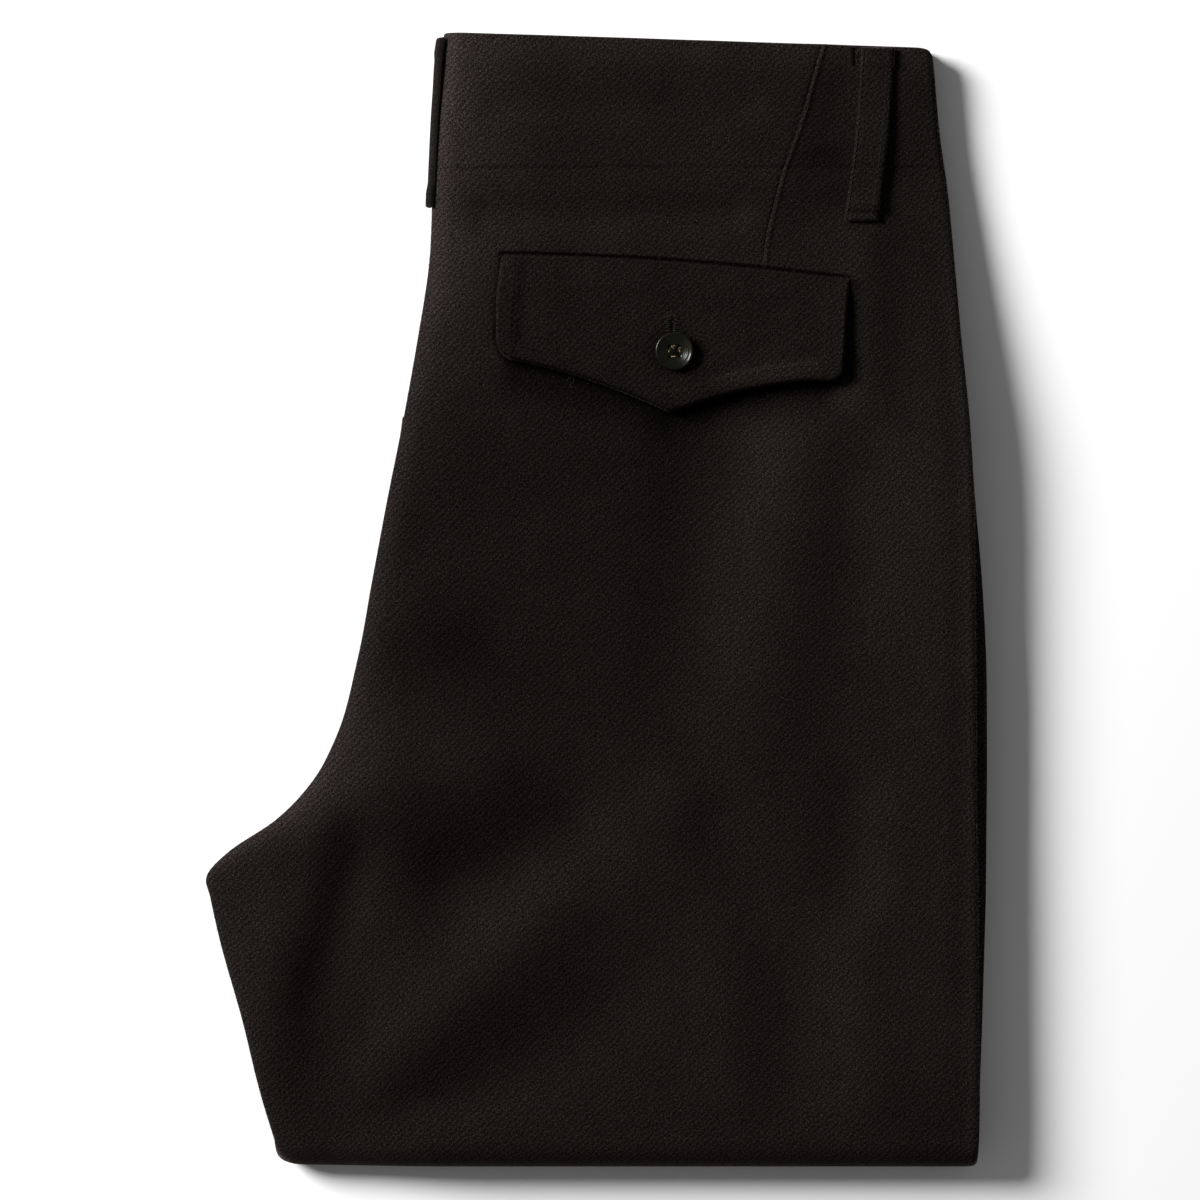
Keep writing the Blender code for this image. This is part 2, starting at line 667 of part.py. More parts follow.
def pocket_button():
    """A dished button with a raised rim and four holes."""
    x, y = BUTTON_AT
    around = np.radians(np.arange(0, 360, 30))
    under = [flap_top(x + BUTTON_RADIUS * math.cos(a), y + BUTTON_RADIUS * math.sin(a))
             for a in around]
    seat = max(under) + SEAM_GAP
    points, faces = turned(*BUTTON_PROFILE.values(), (x, y, seat), 32)
    button = new_object("pocket_button", points, faces,
                        material("horn", (0.020, 0.012, 0.008), 0.25, coat=0.4))
    for i in range(4):
        angle = math.pi / 4 + i * math.pi / 2 + BUTTON_TURN
        out = BUTTON_HOLE_AT * math.sqrt(2)
        centre = (x + out * math.cos(angle), y + out * math.sin(angle), seat)
        hole = new_object(f"button_hole_{i + 1}", *turned([BUTTON_HOLE] * 2, [-1, 5], centre, 10),
                          None)
        hole.hide_render = True
        hole.display_type = "WIRE"
        cut = button.modifiers.new(hole.name, "BOOLEAN")
        cut.operation = "DIFFERENCE"
        cut.solver = "EXACT"
        cut.object = hole
    return button


def belt_loop_side():
    """A folded strip that bridges the waist: flat at its sewn ends, arched between them."""
    ends = SIDE_LOOP["y"][0], SIDE_LOOP["y"][-1]
    length = ends[1] - ends[0]
    half = SIDE_LOOP_WIDTH / 2
    across = np.array([-half, 0.6 - half, -half / 3, half / 3, half - 0.6, half,
                       half - 0.6, half / 3, -half / 3, 0.6 - half])
    height = np.array([0.5, 1, 1, 1, 1, 0.5, 0, 0, 0, 0])
    rings = []
    for share in (0, 0.03, 0.1, 0.14, 0.22, 0.34, 0.46, 0.58, 0.7, 0.8, 0.87, 0.91, 0.97, 1):
        y = ends[0] + share * length
        x = curve(SIDE_LOOP, "y", "x", y) + across
        to_end = min(share, 1 - share) * length
        double = 1 - float(ramp(to_end, LOOP_END - 2, LOOP_END + 2))
        thick = LOOP_THICK * (1 + 0.5 * double) * (1 - 0.35 * (to_end < 0.5))
        arch = SIDE_LOOP_ARCH * float(ramp(to_end, LOOP_END - 2, LOOP_END + 14))
        z = panel_top(x, y) + LOOP_SEAT + arch + thick * height
        rings.append(np.column_stack([x, np.full(len(x), y), z]))
    points, faces = loft(rings, is_wall=False)
    return new_object("belt_loop_side", points, faces, wool("wool_loop_side"), angle=60)


def belt_loop_back():
    """The loop on the centre back seam, carried round the soft fold."""
    first, last = BACK_LOOP_Y
    rings = []
    for share in (0, 0.04, 0.12, 0.2, 0.32, 0.44, 0.56, 0.68, 0.8, 0.88, 0.96, 1):
        y = blend(first, last, share)
        s = station(KNEE_Y - y)
        to_end = min(share, 1 - share) * (first - last)
        near = float(curve(BACK_LOOP_STAND, "share", "near", share))
        thick = LOOP_THICK * (1.3 - 0.3 * float(ramp(to_end, LOOP_END - 2, LOOP_END + 2)))
        arcs = [roll_arc(s, near), roll_arc(s, near + thick)[::-1]]
        section = np.vstack(arcs)
        rings.append(place(s, section[:, 0], section[:, 1]))
    points, faces = loft(rings, is_wall=True)
    return new_object("belt_loop_back", points, faces, wool("wool_loop_back"), angle=60)


def roll_arc(s, out):
    """An arc round the centre back fold, this far outside it."""
    cos, sin = np.cos(BACK_LOOP_ANGLES), np.sin(BACK_LOOP_ANGLES)
    radius = np.where(sin >= 0, s.roll_depth + out, s.stack - s.roll_depth + out)
    return np.column_stack([s.left + s.roll_width - (s.roll_width + out) * cos,
                            s.roll_depth - radius * sin])


def main():
    for obj in list(bpy.data.objects):
        bpy.data.objects.remove(obj)
    for make in (back_right, folded_layers, pocket_flap, pocket_button, belt_loop_side,
                 belt_loop_back):
        make()


main()
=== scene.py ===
import math

import bmesh
import bpy
import numpy as np
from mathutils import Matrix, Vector


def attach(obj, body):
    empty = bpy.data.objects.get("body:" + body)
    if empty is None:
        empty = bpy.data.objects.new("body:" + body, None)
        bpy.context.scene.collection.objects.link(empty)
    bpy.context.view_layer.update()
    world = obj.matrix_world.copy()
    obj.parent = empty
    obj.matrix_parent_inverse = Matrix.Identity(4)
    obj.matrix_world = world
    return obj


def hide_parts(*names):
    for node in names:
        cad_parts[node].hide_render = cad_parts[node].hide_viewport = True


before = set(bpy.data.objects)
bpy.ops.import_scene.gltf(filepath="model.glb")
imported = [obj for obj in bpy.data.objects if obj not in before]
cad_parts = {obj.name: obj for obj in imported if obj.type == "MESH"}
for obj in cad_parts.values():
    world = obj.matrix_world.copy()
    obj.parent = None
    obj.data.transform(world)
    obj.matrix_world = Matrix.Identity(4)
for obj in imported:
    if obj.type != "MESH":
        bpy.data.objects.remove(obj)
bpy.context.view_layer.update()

# Wool trousers, folded lengthwise and then twice across the legs. Shapes are worked out in
# millimetres and newPiece turns them into metres. X runs across, Y up to the waist, Z up.
mm = 0.001
chance = np.random.default_rng(7)


def makeTable(columns, rows):
    # a dictionary of named columns
    return {name: np.array(values, float) for name, values in zip(columns.split(), zip(*rows))}


cloth = {
    "wall": 1.6,
    "waistWall": 2.4,          # wool with its facing turned in behind it
    "facingEdge": (176.3, 178.7),
    "facingStep": 0.5,
    "seamGap": 0.3,
    "waistGap": 0.5,
    "waistGapReach": 12.0,
    "legStack": 6.8,           # four layers, pressed
    "waistStack": 12.3,
    "stackGrows": (120, 185),
}
fold = {
    "waistY": 230.0, "waistSlope": -0.0335, "waistPivot": 38.0, "slopeStarts": 150.0,
    "kneeY": -222.3, "turnY": 68.8, "turnRadius": 7.2, "hemY": -208.0,
    "packHeight": 22.0, "waistHeight": 12.5, "heightFalls": (62, 190),
    "hemSink": 6.3, "hemSinkFrom": 2.0, "hemSinkSpread": 60.0,
    "underSink": 5.0, "underSinkFrom": 4.0, "underSinkSpread": 40.0, "sinkEnds": (60, 20),
    "kneeStraight": 0.85, "kneeCorner": 2.5, "kneeCornerReach": 9.0, "kneeShiftFades": 60.0,
    "coreTop": 15.05, "coreFalls": (79, 113), "coreSlack": 0.15, "coreInset": 11.0,
}
edge = {
    "rollWidth": 9.0, "rollShare": 0.6, "rollEnds": (-118, -100), "width": 3.0,
    "rightShoulder": 0.35, "rightReach": 8.0, "waistCorner": 4.0, "waistDrop": 1.4,
    "waistDropReach": 14.0, "seamStep": 0.45,
}
kneeLength = math.pi * fold["packHeight"] / 2
turnStart = kneeLength + fold["turnY"] - fold["kneeY"]
hemStart = turnStart + math.pi * fold["turnRadius"]
hemReach = hemStart + fold["turnY"] - fold["hemY"]

# drop is how far the face rounds down to the left edge, over dropReach
outline = makeTable("y left right secondLeg drop dropReach", [
    (-230, -129.6, 156.8, 0.0, 1.2, 16), (-205, -137.4, 157.3, 0.1, 1.2, 16),
    (-173, -145.6, 157.0, 1.5, 1.2, 16), (-140, -155.0, 156.7, 2.8, 1.2, 16),
    (-123, -158.8, 156.6, 3.4, 1.4, 18), (-114, -160.4, 156.5, 3.6, 1.7, 22),
    (-105, -152.5, 156.4, 3.8, 2.1, 28), (-91, -132.0, 156.2, 4.1, 2.5, 34),
    (-74, -116.0, 156.1, 4.4, 2.5, 36), (-58, -107.4, 156.0, 4.5, 2.1, 30),
    (-25, -98.0, 155.8, 4.4, 1.3, 18), (8, -91.8, 155.4, 3.0, 1.2, 15),
    (41, -85.6, 155.0, 0.6, 1.2, 16), (73, -79.2, 153.2, 0.0, 1.5, 24),
    (106, -73.4, 150.0, 0.0, 2.2, 36), (139, -68.6, 147.2, 0.0, 3.2, 46),
    (168, -67.4, 144.6, 0.0, 3.4, 48), (194, -66.0, 141.3, 0.0, 3.0, 48),
    (219, -63.5, 139.2, 0.0, 2.4, 46), (232, -62.5, 138.0, 0.0, 2.2, 44),
])
lowerLeg = makeTable("reach left right", [
    (0, -132.2, 156.9), (35, -129.5, 155.8), (93, -118.0, 155.2), (175, -105.8, 154.5),
    (240, -96.6, 153.8), (274, -90.4, 153.3), (326, -80.6, 152.6), (349, -79.0, 152.3),
    (627, -60.0, 150.0),
])
dart = makeTable("y x", [
    (-230, 70.0), (100, 68.0), (136, 68.9), (147, 70.1), (164, 74.0), (178, 77.9), (193, 83.4),
    (215, 89.7), (232, 94.6),
])
dartLook = {
    "step": 0.8, "half": 0.5, "fade": 14.0, "ends": (133, 141), "grows": (135, 165), "least": 0.6,
    "ridge": 0.6, "ridgeAt": 0.75, "ridgeHalf": 0.8,
    "groove": 0.45, "grooveAt": -0.6, "grooveHalf": 0.4,
    "columns": (-1.8, -1.1, -0.6, -0.2, 0.2, 0.6, 1.1, 1.8, 2.8),
}

# Hollows and ridges of the upper face: a bell-shaped band along a line from 0 to 1
folds = makeTable("x0 y0 x1 y1 height halfWidth", [
    (50, 64, 32, -36, -2.4, 24), (88, 70, 68, -50, 1.5, 20), (106, 50, 104, -10, -0.5, 12),
    (150, 90, 153, -150, 0.8, 22), (112, 148, 112, 84, 1.2, 11), (52, 74, 60, 66, -1.0, 13),
    (-76, -6, -66, -12, 1.4, 14), (-60, -20, -20, -42, -1.1, 20),
    (-58, -117, -11, -95, -3.0, 18), (-84, -76, -50, -72, 1.6, 18),
    (-97, -106, -117, -166, -1.4, 11), (-85, -192, -18, -130, 1.6, 15),
    (-70, -212, 5, -168, -2.2, 18), (55, -135, 57, -215, 0.8, 13), (80, -130, 80, -215, -0.6, 12),
    (111, -130, 112, -215, 0.8, 14), (104, -82, 104, -122, -1.2, 12), (50, -92, 62, -128, -0.9, 12),
    (34, -82, 34, -88, 0.9, 12), (-45, 158, 55, 158, -1.3, 8), (-40, 204, 60, 202, -0.9, 8),
    (-30, 90, 30, 76, -0.7, 9), (34, 76, 98, 86, -0.8, 9), (-128, -145, -108, -215, 1.2, 18),
])
foldsStart = (fold["kneeY"], fold["kneeY"] + 20)
calmLeft, calmRight = (2, 24), (2, 14)  # the folds die out towards the edges


def smoothRise(value, start, end):
    # rises from 0 at start to 1 at end as 3 t squared minus 2 t cubed
    t = np.clip((np.asarray(value, float) - start) / (end - start), 0, 1)
    return t * t * (3 - 2 * t)


def mix(first, second, share):
    # the first value, with this share of the way to the second added
    return first + (second - first) * share


def unit(ways):
    # each direction divided by its length
    return ways / (np.linalg.norm(ways, axis=-1, keepdims=True) + 1e-12)


def bell(away, half, power=2):
    # 1 in the middle and less to both sides: e to minus a power of the distance in halves
    return np.exp(-np.abs(away / half) ** power)


def nearness(away, reach):
    # 1 at an edge, falling evenly to 0 at this reach from it
    return np.clip(1 - away / reach, 0, 1)


def readCurve(columns, key, name, at):
    # a cubic through the rows, with each row's slope taken from its neighbours
    keys, values = columns[key], columns[name]
    slopes = np.gradient(values, keys)
    at = np.clip(at, keys[0], keys[-1])
    i = np.clip(np.searchsorted(keys, at) - 1, 0, len(keys) - 2)
    span = keys[i + 1] - keys[i]
    t = (at - keys[i]) / span
    ends = (1 + 2 * t) * (1 - t) ** 2 * values[i] + t * t * (3 - 2 * t) * values[i + 1]
    return ends + span * t * (1 - t) * ((1 - t) * slopes[i] - t * slopes[i + 1])


def waistLift(x):
    # the waist is cut a little higher at the centre back than at the side
    return fold["waistSlope"] * (x - fold["waistPivot"])


def slopedY(y, x):
    # places on the upper face follow the waist's slope more and more towards it
    return y + waistLift(x) * smoothRise(y, fold["slopeStarts"], fold["waistY"])


def belowWaist(x, y):
    # distance down from the waist's sloped edge
    return fold["waistY"] + waistLift(x) - y


def packHeight(x, y):
    # full height over the folded leg, less towards the waist, and sunk left of the runs below
    hemLeft = readCurve(lowerLeg, "reach", "left", hemStart + fold["turnY"] - y)
    underLeft = readCurve(lowerLeg, "reach", "left", kneeLength + y - fold["kneeY"])
    pastHem = smoothRise(hemLeft - fold["hemSinkFrom"] - x, 0, fold["hemSinkSpread"])
    pastUnder = smoothRise(underLeft - fold["underSinkFrom"] - x, 0, fold["underSinkSpread"])
    sink = fold["hemSink"] * pastHem + fold["underSink"] * pastUnder
    base = mix(fold["packHeight"], fold["waistHeight"], smoothRise(y, *fold["heightFalls"]))
    return base - sink * smoothRise(y, *fold["sinkEnds"])


def kneeShift(x, y, left):
    # keeps the leg fold's edge in line where the pack is lower, and rounds its left corner
    sunk = (fold["packHeight"] - packHeight(x, fold["kneeY"])) / 2
    corner = nearness(x - left, fold["kneeCornerReach"])
    shift = fold["kneeStraight"] * sunk - fold["kneeCorner"] * corner ** 2
    return shift * smoothRise(y, fold["kneeY"] + fold["kneeShiftFades"], fold["kneeY"])


def bandFolds(x, y):
    # each fold: height times the bell curve of the distance to its line
    total = np.zeros(np.broadcast(x, y).shape)
    for x0, y0, x1, y1, height, halfWidth in zip(*folds.values()):
        overX, overY = x1 - x0, y1 - y0
        along = np.clip(((x - x0) * overX + (y - y0) * overY) / (overX ** 2 + overY ** 2), 0, 1)
        away = np.hypot(x - mix(x0, x1, along), y - mix(y0, y1, along))
        total = total + height * bell(away, halfWidth)
    return total * smoothRise(y, *foldsStart)


waveLooks = makeTable("length height", [(62, 0.22), (38, 0.12), (21, 0.05)])
waveShare = 2.2  # what each height is divided by among its five cosines
waveTurns = chance.uniform(0, 2 * math.pi, (3, 5, 2))


def softWaves(x, y):
    # small uneven waves: for each length, five cosines in seeded directions
    total = np.zeros(np.broadcast(x, y).shape)
    for length, height, turns in zip(*waveLooks.values(), waveTurns):
        for turn, start in turns:
            across = x * math.cos(turn) + y * math.sin(turn)
            wave = np.cos(across * 2 * math.pi / length + start)
            total = total + height / waveShare * wave
    return total


def dartRelief(x, y):
    # a step at the dart's line, with a rounded lip on its right and a groove on its left
    look = dartLook
    past = x - readCurve(dart, "y", "x", y)
    step = smoothRise(past, -look["half"], look["half"])
    step = look["step"] * step * (1 - smoothRise(past, look["half"], look["fade"]))
    lip = look["ridge"] * bell(past - look["ridgeAt"], look["ridgeHalf"])
    groove = look["groove"] * bell(past - look["grooveAt"], look["grooveHalf"])
    full = mix(look["least"], 1, smoothRise(y, *look["grows"]))
    return (step + lip - groove) * smoothRise(y, *look["ends"]) * full


seamLook = {
    "facingAt": 177.3, "facingDepth": 0.28, "facingHalf": 0.7,
    "wander": ((0.25, 6.3, 0), (0.2, 2.7, 1)), "fading": (0.75, 0.25, 9.0),
    "welt": 0.35, "weltAt": 1.0, "weltHalf": 0.8, "pocketDepth": 1.5, "pocketHalf": 0.75,
    "pocketFlat": 0.2, "weltEnds": (-5.0, 1.0), "pocketEnds": (-1.5, 1.0),
}


def seamRelief(x, y):
    # a fine groove where the facing is caught down, and the pocket seam: a welt just above
    # the flap's top line, and the slit that the flap comes out of
    look = seamLook
    wander = sum(far * np.sin(x / length + start) for far, length, start in look["wander"])
    least, more, length = look["fading"]
    facing = look["facingDepth"] * bell(y - look["facingAt"] - wander, look["facingHalf"])
    facing = facing * (least + more * np.sin(x / length))
    across, down = flapSpot(x, y)
    inside = np.minimum(across, flapLook["width"] - across)
    welt = look["welt"] * bell(down + look["weltAt"], look["weltHalf"])
    away = np.maximum(np.abs(down - look["pocketFlat"]) - look["pocketFlat"], 0)
    slit = look["pocketDepth"] * bell(away, look["pocketHalf"])
    slit = slit * smoothRise(inside, *look["pocketEnds"])
    return smoothRise(inside, *look["weltEnds"]) * (welt - slit) - facing


def shoulders(x, s):
    # the face rounds down towards both edges, by the square of what is left of the reach
    left = s["drop"] * nearness(x - s["left"], s["dropReach"]) ** 2
    return -left - edge["rightShoulder"] * nearness(s["right"] - x, edge["rightReach"]) ** 2


def waistDrop(x, y):
    # the face rounds down to the waist's edge in the same way
    return -edge["waistDrop"] * nearness(belowWaist(x, y), edge["waistDropReach"]) ** 2


def surfaceLift(x, y, s):
    # the face's relief, calm at both edges, with the facing's step and the rounded edges
    calm = smoothRise(x - s["left"], *calmLeft) * smoothRise(s["right"] - x, *calmRight)
    relief = calm * (bandFolds(x, y) + softWaves(x, y) + dartRelief(x, y) + seamRelief(x, y))
    relief = relief + cloth["facingStep"] * smoothRise(y, *cloth["facingEdge"])
    return relief + shoulders(x, s) + waistDrop(x, y)


def faceSizes(y):
    # where the upper face ends, and how it rounds down on the left
    names = ("left", "right", "drop", "dropReach")
    return {name: readCurve(outline, "y", name, y) for name in names}


def panelTop(x, y):
    # height of the upper face at one place, away from its edges
    return packHeight(x, y) + surfaceLift(x, y, faceSizes(y))


def sectionSizes(reach):
    # the sizes of the cross-sections at these reaches along the cloth, one row each; reach is
    # below zero on the upper face and grows round the folds to the hem
    reach = np.asarray(reach, float)[:, None]
    y = fold["kneeY"] - np.minimum(reach, 0)
    onTop = reach <= 0
    corner = np.maximum(y - (fold["waistY"] - edge["waistCorner"]), 0)
    cut = edge["waistCorner"] - np.sqrt(edge["waistCorner"] ** 2 - corner ** 2)
    s = faceSizes(y)
    body = smoothRise(y, *edge["rollEnds"])
    stack = mix(cloth["legStack"], cloth["waistStack"], smoothRise(y, *cloth["stackGrows"]))
    wall = mix(cloth["wall"], cloth["waistWall"], smoothRise(y, *cloth["facingEdge"]))
    parted = smoothRise(y, fold["waistY"] - cloth["waistGapReach"], fold["waistY"])
    s.update({
        "reach": reach, "y": y, "body": body, "stack": stack, "wall": wall,
        "left": np.where(onTop, s["left"], readCurve(lowerLeg, "reach", "left", reach)),
        "right": np.where(onTop, s["right"] - cut, readCurve(lowerLeg, "reach", "right", reach)),
        "second": np.where(onTop, readCurve(outline, "y", "secondLeg", y), 0),
        "cover": wall + cloth["seamGap"] + cloth["waistGap"] * parted,
        "rollWidth": mix(edge["width"], edge["rollWidth"], body),
        "rollDepth": mix(wall, edge["rollShare"] * stack, body),
        "dart": readCurve(dart, "y", "x", y),
    })
    return s


def placeSections(s, x, depth):
    # puts section points on the fold path: depth is measured in from the outer face, and the
    # path is the upper face, the leg fold, the under run, the inner turn and the hem run
    reach = s["reach"]
    fade = 1 - np.clip((depth - s["cover"]) / (s["stack"] - s["cover"]), 0, 1)
    yTop = slopedY(s["y"], x)
    zTop = packHeight(x, yTop) - depth + fade * surfaceLift(x, yTop, s)
    yTop = yTop - kneeShift(x, yTop, s["left"])

    knee = math.pi * (0.5 - np.clip(reach / kneeLength, 0, 1))
    middle = packHeight(x, fold["kneeY"]) / 2
    radius = middle - depth + fade * (1 + np.sin(knee)) / 2 * shoulders(x, s)
    yKnee = fold["kneeY"] - radius * np.cos(knee) - kneeShift(x, fold["kneeY"], s["left"])
    zKnee = middle + radius * np.sin(knee)

    yUnder = fold["kneeY"] + reach - kneeLength + 0 * x
    yUnder = yUnder - kneeShift(x, yUnder, s["left"])
    turn = math.pi * (np.clip((reach - turnStart) / (hemStart - turnStart), 0, 1) - 0.5)
    inner = fold["turnRadius"] - depth
    yTurn = fold["turnY"] + inner * np.cos(turn)
    zTurn = fold["turnRadius"] + inner * np.sin(turn)

    where = [reach <= 0, reach < kneeLength, reach <= turnStart, reach < hemStart]
    yHem = fold["turnY"] - (reach - hemStart) + 0 * x
    y = np.select(where, [yTop, yKnee, yUnder, yTurn], yHem)
    z = np.select(where, [zTop, zKnee, depth + 0 * x, zTurn], 2 * fold["turnRadius"] - depth)
    return np.stack([x + 0 * y, y, z], axis=-1)


def gridQuads(rows, columns, closed=False):
    # the four corners of every cell of a grid; closed joins the last column to the first
    r = np.arange(rows - 1)[:, None]
    c = np.arange(columns if closed else columns - 1)[None, :]
    n = (c + 1) % columns
    near, far = r * columns, (r + 1) * columns
    return np.stack([near + c, near + n, far + n, far + c], axis=-1).reshape(-1, 4)


def newPiece(name, points, faces, material, uv=None, sharp=60, tone=None):
    # a mesh object at the origin from points in millimetres, with its own map in metres and
    # its painted light and shade as an attribute
    mesh = bpy.data.meshes.new(name)
    mesh.from_pydata((np.asarray(points).reshape(-1, 3) * mm).tolist(), [],
                     [list(map(int, f)) for f in faces])
    mesh.materials.append(material)
    if uv is not None:
        corners = np.empty(len(mesh.loops), np.int32)
        mesh.loops.foreach_get("vertex_index", corners)
        layer = mesh.uv_layers.new(name="clothMap")
        layer.data.foreach_set("uv", (np.asarray(uv).reshape(-1, 2)[corners] * mm).ravel())
    level = np.ones(len(mesh.vertices)) if tone is None else np.asarray(tone, float).ravel()
    mesh.attributes.new("paintedShading", "FLOAT", "POINT").data.foreach_set("value", level)
    work = bmesh.new()
    work.from_mesh(mesh)
    bmesh.ops.recalc_face_normals(work, faces=work.faces)
    work.to_mesh(mesh)
    work.free()
    mesh.shade_smooth()
    mesh.set_sharp_from_angle(angle=math.radians(sharp))
    piece = bpy.data.objects.new(name, mesh)
    bpy.context.scene.collection.objects.link(piece)
    return piece


def ringPiece(name, points, material, uv=None, **options):
    # closed rings of points in rows, with a face over each end
    rows, columns = points.shape[:2]
    faces = list(gridQuads(rows, columns, closed=True))
    faces += [np.arange(columns), (rows - 1) * columns + np.arange(columns)]
    return newPiece(name, points, faces, material, uv, **options)


def cutOut(piece, cutter):
    # takes the cutter's form out of the piece
    cut = piece.modifiers.new("cut", "BOOLEAN")
    cut.operation, cut.solver, cut.object = "DIFFERENCE", "EXACT", cutter
    graph = bpy.context.evaluated_depsgraph_get()
    done = bpy.data.meshes.new_from_object(piece.evaluated_get(graph))
    piece.modifiers.clear()
    piece.data = done
    bpy.data.objects.remove(cutter)


def lengthAcross(x, depth, anchor):
    # distance round each section, shifted so that it equals x at the anchor column
    step = np.hypot(np.diff(x, axis=1), np.diff(depth, axis=1))
    run = np.concatenate([np.zeros((len(x), 1)), np.cumsum(step, axis=1)], axis=1)
    return run - run[:, [anchor]] + x[:, [anchor]]


# Materials
def nodeMaterial(name):
    # an empty node material, and its tree
    made = bpy.data.materials.new(name)
    made.use_nodes = True
    made.node_tree.nodes.clear()
    return made, made.node_tree


def addNode(tree, kind, **values):
    # a node; each value is for a property or a socket, or is the socket that feeds it
    node = tree.nodes.new(kind)
    for key, value in values.items():
        socket = key.replace("_", " ")
        if isinstance(value, bpy.types.NodeSocket):
            tree.links.new(value, node.inputs[socket])
        elif hasattr(node, key):
            setattr(node, key, value)
        else:
            node.inputs[socket].default_value = value
    return node


def addRamp(tree, factor, stops):
    # a colour ramp through places and colours, from the first to the last
    ramp = addNode(tree, "ShaderNodeValToRGB", Fac=factor)
    first, *between, last = stops
    for element, (place, color) in zip(list(ramp.color_ramp.elements), (first, last)):
        element.position, element.color = place, color
    for place, color in between:
        ramp.color_ramp.elements.new(place).color = color
    return ramp.outputs["Color"]


def addShader(tree, **values):
    # the surface's shader, joined to the output
    shader = addNode(tree, "ShaderNodeBsdfPrincipled", **values)
    addNode(tree, "ShaderNodeOutputMaterial", Surface=shader.outputs["BSDF"])


woolLook = {
    "dark": (0.0016, 0.0012, 0.0011, 1), "mid": (0.0064, 0.0049, 0.0045, 1),
    "light": (0.0200, 0.0160, 0.0145, 1), "fleck": (0.060, 0.046, 0.040, 1),
    "stops": (0.355, 0.50, 0.655), "fleckFrom": 0.68, "fleckTo": 0.80,
    "twillPitch": 0.00197, "twillTurn": 46.0, "twillShare": 0.080,
    "fibreScale": 1900.0, "fibreStretch": (1.0, 0.75, 1.0), "mottle": 0.08, "mottleScale": 48.0,
    "sheen": 0.22, "sheenRoughness": 0.30, "sheenTint": (0.70, 0.60, 0.55, 1),
    "roughness": 0.95, "bumpStrength": 0.85, "bumpDistance": 0.00045,
}
# painted light and shade: the way the key lamp shines across the cloth, the gain for slopes facing
# it, painted highlights at the edges and the waist, and a scale for the flap
shadingLook = {
    "across": (0.894, -0.447), "slopeGain": 1.3, "limits": (0.48, 1.42),
    "edgeGain": 1.1, "edgeDrop": 3.0, "waistGain": 0.42,
    "rightGain": 0.7, "rightReach": 9.0, "rightFades": (230, 60), "flap": 0.82,
}
# patches of painted light and shade: centre, half sizes, turn in degrees and change of tone
lightAndShadePatches = makeTable("x y halfX halfY turn change", [
    (-30, 45, 75, 42, 0, -0.20), (-45, -20, 45, 30, -30, -0.18), (-68, -100, 40, 24, 0, -0.30),
    (-118, -160, 22, 60, -15, -0.26), (-28, -182, 52, 22, 28, -0.14), (0, -60, 30, 30, 0, -0.10),
    (118, 112, 10, 40, 0, -0.15), (140, 30, 26, 70, 0, 0.22), (66, 40, 20, 40, -15, 0.15),
    (20, -75, 22, 18, -30, 0.14), (125, -90, 36, 90, 0, 0.14), (42, -160, 14, 34, -8, 0.14),
    (98, -175, 16, 46, 0, 0.14), (138, -212, 22, 18, 0, -0.18), (-48, -140, 34, 14, 35, 0.10),
    (10, 215, 90, 10, 0, 0.06), (30, 164, 80, 6, 0, -0.06), (-124, -188, 16, 34, -15, -0.26),
    (112, 42, 26, 46, 0, 0.24), (116, -165, 30, 44, 0, 0.18), (-58, 214, 24, 26, 0, 0.34),
    (45, -40, 14, 26, -20, -0.14), (0, 58, 44, 16, 0, -0.10), (93, 190, 9, 38, -10, -0.20),
    (128, 190, 10, 40, 0, -0.10), (95, 182, 11, 5, 0, -0.30), (100, 165, 8, 7, 0, -0.28),
    (-107, -106, 8, 28, -6, -0.24), (-112, -78, 16, 8, 20, 0.12), (-60, -24, 52, 18, -20, -0.10),
    (100, 66, 30, 20, 0, 0.06), (28, 83, 10, 8, 0, 0.45),
])


